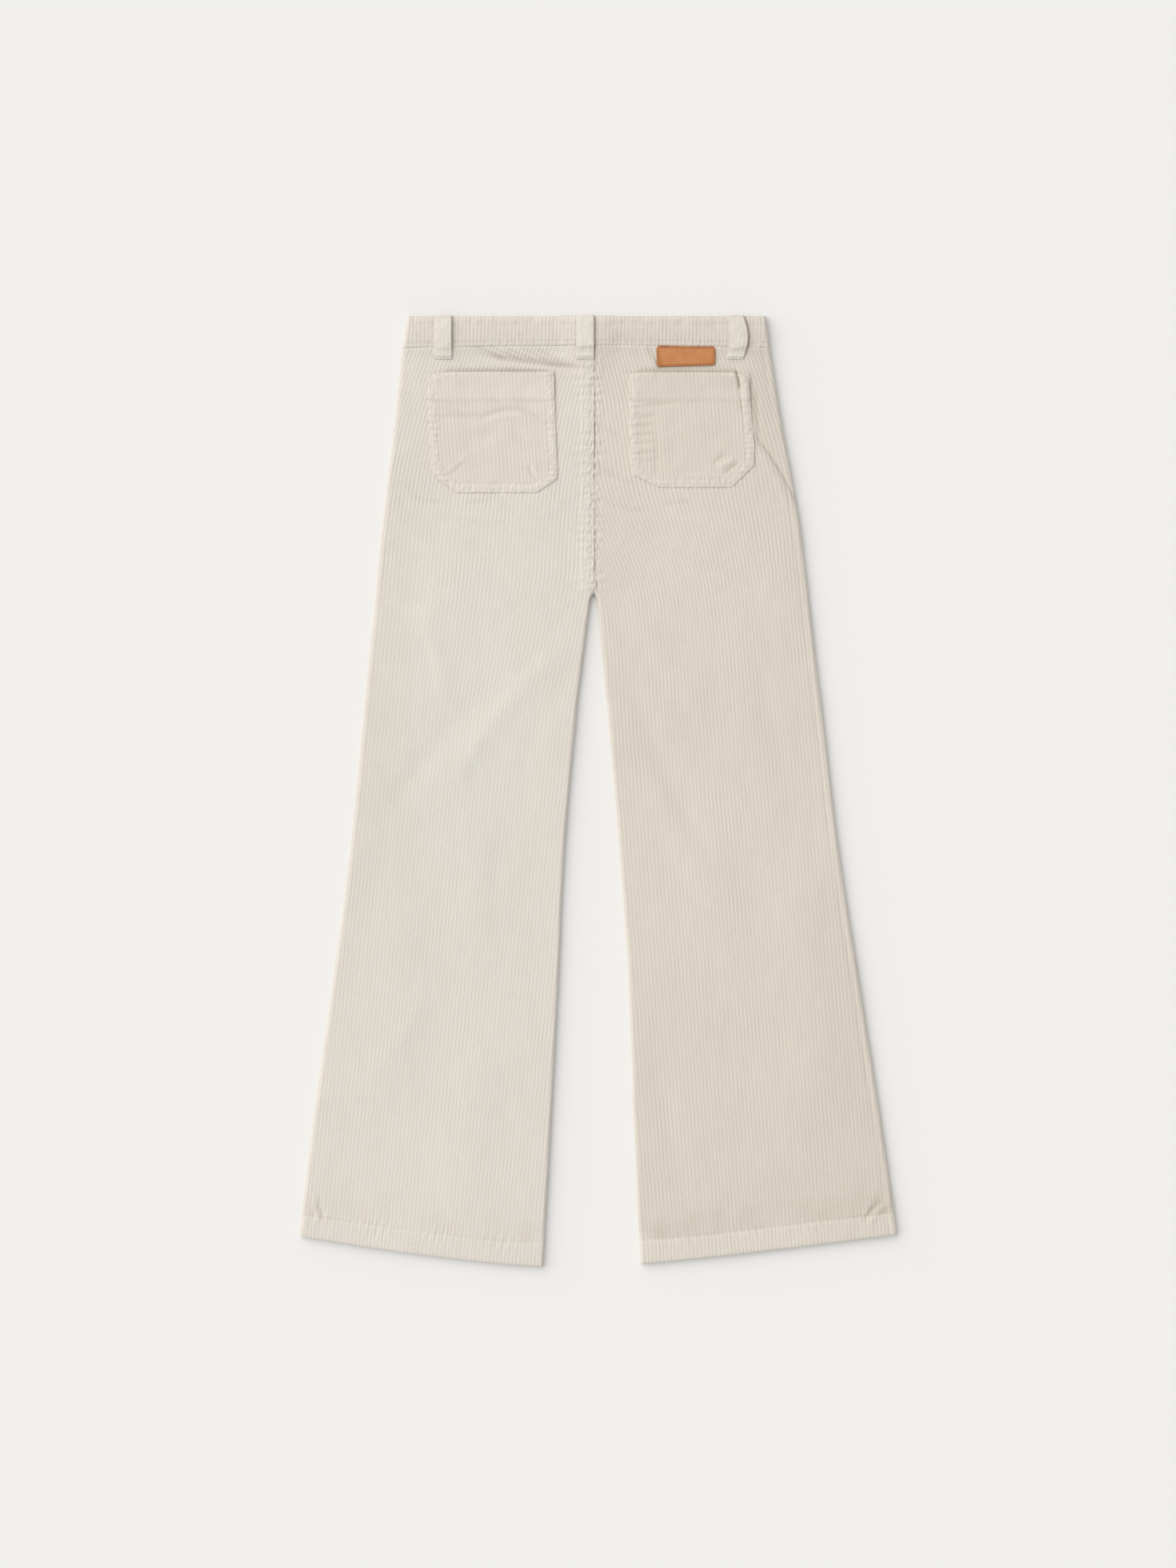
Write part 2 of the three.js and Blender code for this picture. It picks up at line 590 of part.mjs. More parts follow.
// A patch pocket lies on the back panel, with a faced top and cut lower corners.
function patchPocket({ leg, rows }) {
  const outer = [];
  const inner = [];
  const tan = Math.tan(THREE.MathUtils.degToRad(POCKET_LEAN)) * leg.side;
  const top = rows[0].drop;
  const under = (out, drop) => {
    const reach = [-3, 0, 3];
    const near = reach.flatMap((a) => reach.map((b) => backTop(leg.side * (out + a), drop + b)));
    return Math.max(...near) + SEW_ON_GAP;
  };
  for (const { drop, near, far } of rows) {
    const place = () => drop;
    const mouth = POCKET_MOUTH_RISE * (1 - smooth(top, top + 14, drop));
    const facing = POCKET_FACING_RISE * (1 - smooth(top + POCKET_FACING - 1, top + POCKET_FACING + 1.5, drop));
    const rise = (out) => mouth * Math.sin(Math.PI * clamp((out - near) / (far - near)));
    outer.push(ribbedRow({
      side: leg.side,
      ends: [near, far],
      place,
      faceZ: (out) => under(out, drop) + POCKET_WALL + facing + rise(out),
      ribHeight: () => WALE_HEIGHT,
      grainAt: (out) => out - tan * drop,
      outAt: (grain) => grain + tan * drop,
    }));
    const outs = [0, 0.12, 0.3, 0.5, 0.7, 0.88, 1].map((t) => mix(near, far, t));
    inner.push(outs.map((out, i) => point(leg.side, out, drop, under(out, drop) + rise(out), i)));
  }
  return wall(outer, inner);
}

// A belt loop stands off the band in its middle and is tacked down at both ends.
function beltLoop({ x, bow }) {
  const outer = [];
  const inner = [];
  const drops = [-0.4, 2.5, 5.5, 14, 22, 27.5, 31, LOOP_END_DROP - LOOP_TACK, LOOP_END_DROP];
  const half = LOOP_WIDTH / 2;
  for (const drop of drops) {
    const middle = x + bow * Math.sin(Math.PI * clamp(drop / LOOP_END_DROP));
    const rest = [-1, -0.5, 0, 0.5, 1].flatMap((t) =>
      [-2, 0, 2].map((near) => backTop(middle + t * half, Math.max(0, drop + near))));
    const free = LOOP_SPACE * smooth(0.5, 6, drop) * (1 - smooth(24, 31, drop));
    const under = Math.max(...rest) + SEW_ON_GAP + free;
    const edge = (at) => 0.35 * (1 - rounded(half - Math.abs(at - middle), 2));
    outer.push(ribbedRow({
      side: 1,
      ends: [middle - half, middle + half],
      place: () => drop,
      faceZ: (at) => under + LOOP_WALL - edge(at),
      ribHeight: () => WALE_HEIGHT * 0.5,
      grainAt: (at) => at - middle,
      outAt: (grain) => grain + middle,
    }));
    inner.push([-1, 0, 1].map((t, i) => point(1, middle + t * half, drop, under, i)));
  }
  return wall(outer, inner);
}

// The leather patch is a plain plate that follows the panel under it.
function leatherPatch() {
  const face = (thickness) => [0, 0.06, 0.5, 0.94, 1].map((down) =>
    [0, 0.02, 0.25, 0.5, 0.75, 0.98, 1].map((across, i) => {
      const corner = (down === 0 || down === 1) && (across === 0 || across === 1) ? 1 : 0;
      const out = mix(PATCH.near, PATCH.far, across) + corner * (across ? -0.6 : 0.6);
      const drop = mix(PATCH.top, mix(PATCH.nearBottom, PATCH.farBottom, across), down);
      const below = [-3, 0, 3].flatMap((a) => [0, 3].map((b) => backTop(out + a, drop + b)));
      return point(1, out, drop, Math.max(...below) + SEW_ON_GAP + thickness, i);
    }));
  return wall(face(PATCH.thickness), face(0));
}

// The waist button: a turned disc with a raised rim, lying under the outer tab.
function waistButton() {
  const profile = [
    [0, BUTTON_THICKNESS],
    [BUTTON_RADIUS - 0.5, BUTTON_THICKNESS],
    [BUTTON_RADIUS, BUTTON_THICKNESS - 0.5],
    [BUTTON_RADIUS, 0.4],
    [BUTTON_RADIUS - 0.4, 0],
    [BUTTON_RADIUS - 1.6, 0],
    [BUTTON_RADIUS - 2.2, 0.5],
    [0, 0.5],
  ].map(([r, z]) => new THREE.Vector2(r, z)).reverse();
  const geometry = new THREE.LatheGeometry(profile, 24);
  geometry.rotateX(Math.PI / 2);
  geometry.translate(-BUTTON_OUT, -BUTTON_DROP, 0);
  return geometry;
}

const cloth = () => new THREE.MeshStandardMaterial({ color: CLOTH_COLOUR, roughness: 0.95, metalness: 0 });
const leather = () => new THREE.MeshStandardMaterial({ color: LEATHER_COLOUR, roughness: 0.6, metalness: 0 });
const horn = () => new THREE.MeshStandardMaterial({ color: BUTTON_COLOUR, roughness: 0.4, metalness: 0 });

const trousers = new THREE.Group();
function add(name, geometry, material) {
  const mesh = new THREE.Mesh(geometry, material);
  mesh.name = name;
  trousers.add(mesh);
}
add('back_left', backPanel(LEFT), cloth());
add('back_right', backPanel(RIGHT), cloth());
add('front_left', frontPanel(LEFT), cloth());
add('front_right', frontPanel(RIGHT), cloth());
add('waistband_back', waistbandBack(), cloth());
add('waistband_front_left', waistbandFront(LEFT), cloth());
add('waistband_front_right', waistbandFront(RIGHT), cloth());
for (const pocket of POCKETS) add(pocket.name, patchPocket(pocket), cloth());
for (const loop of LOOPS) add(loop.name, beltLoop(loop), cloth());
add('leather_patch', leatherPatch(), leather());
add('waist_button', waistButton(), horn());

// The origin lies under the middle of the outline.
const box = new THREE.Box3().setFromObject(trousers);
trousers.position.set(-(box.min.x + box.max.x) / 2, -(box.min.y + box.max.y) / 2, 0);

export default trousers;
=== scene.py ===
"""A child's wide-leg corduroy trousers, laid flat on their front and seen from straight above.

Lengths are in millimetres until a mesh is made. A point of the cloth is given by "out", its
distance from the seat seam towards a side seam, and "drop", its distance below the waist's edge.
"""

import bpy
import numpy as np
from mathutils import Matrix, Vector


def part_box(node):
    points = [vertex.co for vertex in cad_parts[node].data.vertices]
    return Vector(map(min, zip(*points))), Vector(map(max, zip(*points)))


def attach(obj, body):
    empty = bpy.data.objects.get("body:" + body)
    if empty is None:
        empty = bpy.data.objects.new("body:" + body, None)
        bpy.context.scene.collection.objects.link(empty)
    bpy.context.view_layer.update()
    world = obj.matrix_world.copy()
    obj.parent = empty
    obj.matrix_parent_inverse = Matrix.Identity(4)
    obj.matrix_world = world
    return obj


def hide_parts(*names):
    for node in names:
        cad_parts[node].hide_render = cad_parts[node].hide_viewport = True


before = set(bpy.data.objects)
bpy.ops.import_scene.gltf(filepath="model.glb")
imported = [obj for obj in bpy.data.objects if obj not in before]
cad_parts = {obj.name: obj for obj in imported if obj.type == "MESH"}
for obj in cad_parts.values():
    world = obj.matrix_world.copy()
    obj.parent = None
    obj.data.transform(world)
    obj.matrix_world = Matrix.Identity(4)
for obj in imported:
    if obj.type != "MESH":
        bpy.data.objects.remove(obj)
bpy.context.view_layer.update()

# Camera. The photo looks straight down, so a long lens stands three metres above the trousers,
# and the frame's height of 2000 pixels takes in 1320 mm.
PHOTO_PIXEL = 0.66
PHOTO_HEIGHT = 2000
PHOTO_MIDDLE = (750, 1000)
ORIGIN_IN_PHOTO = (763.5, 1009)
CAMERA_HEIGHT = 3200
SENSOR = 36
view_x = (PHOTO_MIDDLE[0] - ORIGIN_IN_PHOTO[0]) * PHOTO_PIXEL
view_y = (ORIGIN_IN_PHOTO[1] - PHOTO_MIDDLE[1]) * PHOTO_PIXEL
camera_data = bpy.data.cameras.new("camera")
camera_data.sensor_width = SENSOR
camera_data.lens = SENSOR * CAMERA_HEIGHT / (PHOTO_HEIGHT * PHOTO_PIXEL)
camera_data.clip_end = 50
camera = bpy.data.objects.new("camera", camera_data)
camera.location = (view_x / 1000, view_y / 1000, CAMERA_HEIGHT / 1000)
bpy.context.scene.collection.objects.link(camera)
bpy.context.scene.camera = camera

# Studio light. A wide soft light stands to the upper left, so shadows fall softly to the right and
# downwards, and an even white surround fills them. Colours are shown with no film curve.
SUN_FROM = (-1.0, 0.6, 1.1)
sun_data = bpy.data.lights.new("key_light", "SUN")
sun_data.energy = 2.2
sun_data.angle = np.radians(80)
sun_data.color = (1.0, 0.987, 0.967)
sun = bpy.data.objects.new("key_light", sun_data)
sun.rotation_mode = "QUATERNION"
sun.rotation_quaternion = Vector(SUN_FROM).to_track_quat("Z", "Y")
bpy.context.scene.collection.objects.link(sun)
surround = bpy.data.worlds.new("surround")
surround.use_nodes = True
white = surround.node_tree.nodes["Background"]
white.inputs["Color"].default_value = (0.975, 0.985, 1.0, 1)
white.inputs["Strength"].default_value = 0.54
bpy.context.scene.world = surround
bpy.context.scene.view_settings.view_transform = "Standard"

# Floor. A plain pale sheet of board, wide enough for every view. Its size is in metres, and it
# lies a little below the cloth, so the two never share a plane.
FLOOR_SIZE = 6
floor_mesh = bpy.data.meshes.new("floor")
half = FLOOR_SIZE / 2
floor_corners = [(-half, -half, 0), (half, -half, 0), (half, half, 0), (-half, half, 0)]
floor_mesh.from_pydata(floor_corners, [], [(0, 1, 2, 3)])
floor = bpy.data.objects.new("floor", floor_mesh)
floor.location = (0, 0, -0.0003)
bpy.context.scene.collection.objects.link(floor)
board = bpy.data.materials.new("pale_board")
board.use_nodes = True
painted = board.node_tree.nodes["Principled BSDF"]
painted.inputs["Base Color"].default_value = (0.87, 0.86, 0.842, 1)
painted.inputs["Roughness"].default_value = 0.9
painted.inputs["Specular IOR Level"].default_value = 0.1
floor_mesh.materials.append(board)

# Corduroy. Cream cotton with eight wales to the inch: tufts of cut pile stand in rows on a darker
# ground weave. Each cloth piece has a UV map that counts wales across and wale widths along, and a
# second one that holds the painted shade of each place, where shade falls in creases, by edges and
# under loops.
WALE = 25.4 / 8
WALE_HEIGHT = 0.26
PILE_COLOUR = (0.793, 0.744, 0.676, 1)
GROUND_COLOUR = (0.762, 0.704, 0.626, 1)
SHADE_COLOUR = (0.42, 0.33, 0.25, 1)
EVEN_SHADE = 0.08
# Painted cool sheen on the left thigh, where its nap lies the other way and catches the light a little
# cooler: its tint, middle and reach.
COOL_SHEEN = (0.982, 1.014, 1.008, 1)
COOL_SHEEN_AT = (-0.108, 0.05, 0.006)
COOL_SHEEN_SCALE = (1 / 0.08, 1 / 0.2, 1)


def join(tree, out_socket, in_socket):
    """Links two sockets of a node tree."""
    tree.links.new(out_socket, in_socket)


def math_node(tree, operation, first, second=0.5):
    """A Math node whose inputs are sockets or plain numbers. Gives back its output.

    An input that isn't given holds a half, the third one too.
    """
    node = tree.nodes.new("ShaderNodeMath")
    node.operation = operation
    for socket, value in zip(node.inputs, (first, second)):
        if isinstance(value, (int, float)):
            socket.default_value = value
        else:
            join(tree, value, socket)
    return node.outputs[0]


def noise_node(tree, vector, scale, stretch=(1, 1, 1), detail=2.0):
    """Noise of one size, stretched along an axis. Gives back its value from 0 to 1."""
    mapping = tree.nodes.new("ShaderNodeMapping")
    mapping.inputs["Scale"].default_value = stretch
    noise = tree.nodes.new("ShaderNodeTexNoise")
    noise.inputs["Scale"].default_value = scale
    noise.inputs["Detail"].default_value = detail
    join(tree, vector, mapping.inputs["Vector"])
    join(tree, mapping.outputs["Vector"], noise.inputs["Vector"])
    return noise.outputs["Fac"]


def mix_colour(tree, kind, share, first, second):
    """Mixes two colours, each a socket or a plain colour, by a share. Gives back the colour."""
    node = tree.nodes.new("ShaderNodeMix")
    node.data_type = "RGBA"
    node.blend_type = kind
    for name, value in (("Factor_Float", share), ("A_Color", first), ("B_Color", second)):
        socket = next(s for s in node.inputs if s.identifier == name)
        if hasattr(value, "is_output"):
            join(tree, value, socket)
        else:
            socket.default_value = value
    return next(s for s in node.outputs if s.identifier == "Result_Color")


def pile_group():
    """Colour and height of corduroy pile, from the wale count across and along the cloth.

    The crest mask is half of one plus the cosine of a full turn for each wale. Tufts break it up
    along the wale, and broad soft patches make the nap lighter or darker. Where the nap of the
    left thigh lies the other way, a painted cool sheen stands for the cooler light it catches. A
    second UV map holds painted shade: how much each place is darkened and browned, as where shade
    falls in a crease or under an edge.
    """
    group = bpy.data.node_groups.new("corduroy_pile", "ShaderNodeTree")
    for name in ("Pile", "Ground"):
        group.interface.new_socket(name, in_out="INPUT", socket_type="NodeSocketColor")
    group.interface.new_socket("Color", in_out="OUTPUT", socket_type="NodeSocketColor")
    group.interface.new_socket("Height", in_out="OUTPUT", socket_type="NodeSocketFloat")
    given = group.nodes.new("NodeGroupInput")
    result = group.nodes.new("NodeGroupOutput")
    uv = group.nodes.new("ShaderNodeUVMap")
    uv.uv_map = "cloth"
    split = group.nodes.new("ShaderNodeSeparateXYZ")
    join(group, uv.outputs["UV"], split.inputs["Vector"])
    # Painted shade, held in a second UV map, darkens and browns the colour further down.
    wear = group.nodes.new("ShaderNodeUVMap")
    wear.uv_map = "wear"
    wear_and_shade = group.nodes.new("ShaderNodeSeparateXYZ")
    join(group, wear.outputs["UV"], wear_and_shade.inputs["Vector"])
    turn = math_node(group, "MULTIPLY", split.outputs["X"], 2 * np.pi)
    crest = math_node(group, "MULTIPLY_ADD", math_node(group, "COSINE", turn))
    place = group.nodes.new("ShaderNodeTexCoord").outputs["Object"]
    tufts = noise_node(group, uv.outputs["UV"], 1.0, (2.0, 1.1, 1), 2)
    fibres = noise_node(group, uv.outputs["UV"], 1.0, (9.0, 4.0, 1), 3)
    patches = noise_node(group, place, 8.0, (1, 0.6, 1), 2)
    ragged = noise_node(group, place, 14.0, (1, 1, 1), 2)
    thigh = group.nodes.new("ShaderNodeMapping")
    thigh.inputs["Location"].default_value = [-c * r for c, r in zip(COOL_SHEEN_AT, COOL_SHEEN_SCALE)]
    thigh.inputs["Scale"].default_value = COOL_SHEEN_SCALE
    join(group, place, thigh.inputs["Vector"])
    cool = group.nodes.new("ShaderNodeTexGradient")
    cool.gradient_type = "SPHERICAL"
    join(group, thigh.outputs["Vector"], cool.inputs["Vector"])
    share = math_node(group, "ADD", crest, math_node(group, "MULTIPLY", tufts, 0.7))
    share = math_node(group, "SUBTRACT", share, 0.3)
    share.node.use_clamp = True
    colour = mix_colour(group, "MIX", share, given.outputs["Ground"], given.outputs["Pile"])
    speckle = math_node(group, "MULTIPLY_ADD", math_node(group, "SUBTRACT", fibres, 0.5), 0.22)
    speckle.node.inputs[2].default_value = 1.0
    nap = math_node(group, "MULTIPLY_ADD", math_node(group, "SUBTRACT", patches, 0.5), 0.10)
    join(group, speckle, nap.node.inputs[2])
    grey = group.nodes.new("ShaderNodeCombineXYZ")
    for socket in grey.inputs:
        join(group, nap, socket)
    colour = mix_colour(group, "MULTIPLY", 1.0, colour, grey.outputs["Vector"])
    # Painted cool sheen: the colour is cooled over the left thigh, with a ragged edge.
    shift = math_node(group, "MULTIPLY_ADD", math_node(group, "SUBTRACT", ragged, 0.5), 1.3)
    join(group, math_node(group, "MULTIPLY", cool.outputs["Fac"], 1.7), shift.node.inputs[2])
    reach = math_node(group, "MULTIPLY", cool.outputs["Fac"], 3.0)
    coolness = math_node(group, "MULTIPLY", shift, reach)
    coolness.node.use_clamp = True
    colour = mix_colour(group, "MULTIPLY", coolness, colour, COOL_SHEEN)
    colour = mix_colour(group, "MULTIPLY", wear_and_shade.outputs["X"], colour, SHADE_COLOUR)
    join(group, colour, result.inputs["Color"])
    height = math_node(group, "ADD", math_node(group, "MULTIPLY", fibres, 0.6), tufts)
    join(group, height, result.inputs["Height"])
    return group


CORDUROY_PILE = pile_group()


def corduroy(name, tone=(1, 1, 1)):
    """Corduroy for one piece, with the pile's colour multiplied by the tone given for it."""
    material = bpy.data.materials.new(name)
    material.use_nodes = True
    tree = material.node_tree
    cloth = tree.nodes["Principled BSDF"]
    cloth.inputs["Roughness"].default_value = 0.95
    cloth.inputs["Specular IOR Level"].default_value = 0.15
    cloth.inputs["Sheen Weight"].default_value = 0.25
    cloth.inputs["Sheen Roughness"].default_value = 0.6
    cloth.inputs["Sheen Tint"].default_value = (1.0, 0.97, 0.92, 1)
    pile = tree.nodes.new("ShaderNodeGroup")
    pile.node_tree = CORDUROY_PILE
    for socket, colour in (("Pile", PILE_COLOUR), ("Ground", GROUND_COLOUR)):
        pile.inputs[socket].default_value = [c * t for c, t in zip(colour, (*tone, 1))]
    bump = tree.nodes.new("ShaderNodeBump")
    bump.inputs["Strength"].default_value = 0.5
    bump.inputs["Distance"].default_value = 0.0005
    join(tree, pile.outputs["Color"], cloth.inputs["Base Color"])
    join(tree, pile.outputs["Height"], bump.inputs["Height"])
    join(tree, bump.outputs["Normal"], cloth.inputs["Normal"])
    return material


# Belt loops' places. The loops themselves are made further down, and their shadows fall on pieces
# made before them.
LOOP_WIDTH = 15.5
LOOP_WALL = 1.2
LOOP_END = 36.5
LOOP_HALF = LOOP_WIDTH / 2
LOOP_SPACE = 0.8
LOOP_SPAN = (18, 37)


class Loop:
    """One belt loop: its middle line, which may bow to the right, and its height over the band.

    The number dark is how dark the painted shadow line is where its right edge stands off what it lies on.
    """

    def __init__(self, name, x, bow, dark):
        self.name, self.x, self.bow, self.dark = name, x, bow, dark

    def middle(self, drop):
        return self.x + self.bow * np.sin(np.pi * np.clip(drop / LOOP_END, 0, 1))

    def near(self, drop):
        return self.middle(drop) - LOOP_HALF

    def far(self, drop):
        return self.middle(drop) + LOOP_HALF

    def grain_at(self, x, drop):
        return x - self.middle(drop)

    def out_at(self, grain, drop):
        return grain + self.middle(drop)

    def under(self, x, drop):
        """The loop's lower face, a little above the highest of what lies near its middle line.

        It spans the band's lower edge by a soft step between the heights at two drops. Between
        its sewn ends it stands free, most of all at its right edge.
        """
        middle = self.middle(drop)
        near = [
            lying_height(middle + aside, np.maximum(drop + below, 0))
            for aside in (-5, 0, 5)
            for below in (-2, 0, 2)
        ]
        ends = [lying_height(middle, at + 0 * drop) for at in LOOP_SPAN]
        near.append(mix(*ends, smooth(*LOOP_SPAN, drop)))
        free = LOOP_SPACE * smooth(0.5, 6, drop) * (1 - smooth(24, 31, drop))
        return np.max(near, axis=0) + 0.1 + free * 1.7 * smooth(-LOOP_HALF, LOOP_HALF, x - middle)

    def height(self, x, drop):
        """The loop's upper face: rounded edges, the left one flatter, and two pressed lines."""
        from_middle = x - self.middle(drop)
        edge = LOOP_HALF - np.abs(from_middle)
        reach = mix(1.8, 7.5, 1 - smooth(-LOOP_HALF, 0, from_middle))
        z = self.under(x, drop) + LOOP_WALL - (LOOP_WALL - 0.15) * (1 - rounded(edge, reach))
        z = z - 0.5 * (1 - rounded(drop + 0.4, 1.5)) - 0.9 * (1 - rounded(LOOP_END - drop, 1.6))
        z = z + groove(edge - 2.6, 0.8, 0.1)
        return z + 0.1 * uneven(x, drop, 11, 4) + 0.1 * uneven(x, drop, 5, 2)


LOOPS = [
    Loop("belt_loop_left", x=-126.7, bow=0, dark=0.24),
    Loop("belt_loop_centre", x=-7.2, bow=0, dark=0.38),
    Loop("belt_loop_right", x=118, bow=4, dark=0.6),
]


# Back panels. Two wide legs, each from the waistband to its turned-up hem, lie on top because the
# trousers are face down. The left laps over the right at the seat in a raised, felled strip.
SEAM_GAP = 0.3
SIDE_SEAM_Z = 2.4
BACK_Z = 6.0
CLOTH = 1.4
BACK_RIM = SIDE_SEAM_Z + SEAM_GAP / 2
EDGE_ROUND = 3.2
INSEAM_ROUND = 2.4
CROTCH = 233.0
LEG_LENGTH = 799
MIDDLE_WALE_IN = 45
BAND_DEPTH = 25.0
BAND_SEAM_DIP = 2.2
HEM_DEPTH = 20.0
HEM_RISE = 0.55
FELL_WIDTH = 10.5
FELL_HEIGHT = 0.6
SEAT_STITCHES = (2.0, 8.6)
BUTTON_AT = (-3, 12.5)
BUTTON_RISE = 1.9
OUTLINE = [("drop", float), ("outseam", float), ("inseam", float)]
GRAIN = [("drop", float), ("lean", float), ("spread", float)]
FOLD = [(n, float) for n in ("out", "drop", "to_out", "to_drop", "bow", "width", "lift")]
seam_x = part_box("back_left")[1][0] * 1000 + SEAM_GAP / 2
waist_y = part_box("waistband_back")[1][1] * 1000


def smooth(start, end, value):
    """A soft step from 0 at start to 1 at end: three s squared less two s cubed."""
    s = np.clip((value - start) / (end - start), 0, 1)
    return s * s * (3 - 2 * s)


def mix(first, second, share):
    """first where share is 0, second where it is 1, and between them in proportion."""
    return first + (second - first) * share


def along(table, name, drop):
    """The value of a table's column at a drop, on a cubic curve through its rows.

    Each row's slope is that between its two neighbours, and past the ends the line goes on.
    """
    at, value = table["drop"], table[name]
    n = len(at)
    ahead, behind = np.minimum(np.arange(n) + 1, n - 1), np.maximum(np.arange(n) - 1, 0)
    slope = (value[ahead] - value[behind]) / (at[ahead] - at[behind])
    drop = np.asarray(drop, float)
    i = np.clip(np.searchsorted(at, drop) - 1, 0, n - 2)
    span = at[i + 1] - at[i]
    t = np.clip((drop - at[i]) / span, 0, 1)
    past = drop - at[i] - t * span
    return (
        (2 * t**3 - 3 * t**2 + 1) * value[i]
        + (t**3 - 2 * t**2 + t) * slope[i] * span
        + (3 * t**2 - 2 * t**3) * value[i + 1]
        + (t**3 - t**2) * slope[i + 1] * span
        + past * (value[i + 1] - value[i]) / span
    )


def uneven(x, y, size, seed):
    """Soft bumps from about -1 to 1, size apart: bent waves in five directions are added."""
    total = 0.0
    for k in range(5):
        angle, wave = seed * 1.7 + k * 2.4, 2 * np.pi / (size * (0.8 + 0.23 * k))
        run, side = x * np.cos(angle) + y * np.sin(angle), x * np.sin(angle) - y * np.cos(angle)
        total = total + np.sin(wave * run + 1.3 * np.sin(0.6 * wave * side + k) + seed * k)
    return total / 2.5


def mottle(x, y):
    """Small uneven patches from about -1 to 1, as in cloth that was folded and pressed flat."""
    return 0.55 * uneven(x, y, 17, 2) + 0.45 * uneven(x, 0.7 * y, 31, 6) + 0.3 * uneven(0.8 * x, y, 8, 9)


def rounded(distance, reach=EDGE_ROUND):
    """Share of full height at a distance from a rounded edge: a quarter of an ellipse."""
    t = np.clip(1 - distance / reach, 0, 1)
    return np.sqrt(1 - t * t)


def groove(distance, width=0.9, depth=0.35):
    """A stitched line pressed into cloth: a bell curve turned down."""
    return -depth * np.exp(-((distance / width) ** 2))


def fold_lift(folds, out, drop):
    """Height that soft ridges and troughs add at a point.

    Each runs between its two ends, bowed sideways by a parabola. Across it the height is a bell
    curve, and it fades at both ends.
    """
    lift = np.zeros(np.broadcast(out, drop).shape)
    for f in folds:
        run_out, run_drop = f["to_out"] - f["out"], f["to_drop"] - f["drop"]
        length = np.hypot(run_out, run_drop)
        t = ((out - f["out"]) * run_out + (drop - f["drop"]) * run_drop) / length**2
        aside = ((out - f["out"]) * run_drop - (drop - f["drop"]) * run_out) / length
        aside = aside - f["bow"] * 4 * t * (1 - t)
        ends = smooth(-0.25, 0.2, t) * (1 - smooth(0.8, 1.25, t))
        lift = lift + f["lift"] * ends * np.exp(-((aside / f["width"]) ** 2))
    return lift


class Leg:
    """One leg laid flat: its outline, the way its wales run, its pocket's mouth and its folds.

    The band is where the waistband's side seam lies at its top and at its bottom. The nap is how
    high the wales stand at the hip, the thigh and the hem. The hem's painted shades are those of
    its stitch line, of the hem itself and of the cloth above it, and rim is that painted on the
    outer edge. The table shades has painted dark lines in the form of folds. The path is that of
    the middle wale, a place for each millimetre of drop.
    """

    def __init__(self, side, band, hem, mouth, nap, hem_shades, rim, outline, grain, folds, shades):
        self.side, self.band, self.hem_line, self.mouth, self.nap = side, band, hem, mouth, nap
        self.hem_shades, self.rim = hem_shades, rim
        self.shades = np.array(shades, FOLD)
        self.outline = np.array(outline, OUTLINE)
        self.grain = np.array(grain, GRAIN)
        self.folds = np.array(folds, FOLD)
        self.path_drop = np.arange(LEG_LENGTH + 32)
        step = np.tan(np.radians(along(self.grain, "lean", self.path_drop)))
        start = along(self.outline, "outseam", 0) - MIDDLE_WALE_IN
        self.path = start + np.concatenate([[0], np.cumsum(step)[:-1]])

    def creases(self, out, drop, least=0):
        """Height of the narrow folds alone, none drawn narrower than least."""
        narrow = self.folds[self.folds["width"] < 3]
        narrow["width"] = np.maximum(narrow["width"], least)
        return fold_lift(narrow, out, drop)

    def outseam(self, drop):
        return along(self.outline, "outseam", drop)

    def inseam(self, drop):
        return np.maximum(SEAM_GAP / 2, along(self.outline, "inseam", drop))

    def hem(self, out):
        """Drop of the hem's edge, which rises from the inseam to the outseam by a power curve."""
        inner, outer, drop, rise, power = self.hem_line
        return drop - rise * np.clip((out - inner) / (outer - inner), 0, 1) ** power

    def grain_at(self, out, drop):
        """Distance across the wales from the middle wale, in the cloth's own plane."""
        spine = np.interp(drop, self.path_drop, self.path)
        return (out - spine) / along(self.grain, "spread", drop)

    def out_at(self, grain, drop):
        """The other way round: where a wale lies at a drop."""
        spine = np.interp(drop, self.path_drop, self.path)
        return spine + grain * along(self.grain, "spread", drop)

    def open_leg(self, drop):
        """0 where the two legs are joined at the seat, and 1 where the inseam is free."""
        return smooth(CROTCH - 6, CROTCH + 4, drop)

    def roundness(self, out, drop):
        """Share of full height, less near the side seam and near the free inseam."""
        inner = mix(1, rounded(out - self.inseam(drop), INSEAM_ROUND), self.open_leg(drop))
        return rounded(self.outseam(drop) - out) * inner


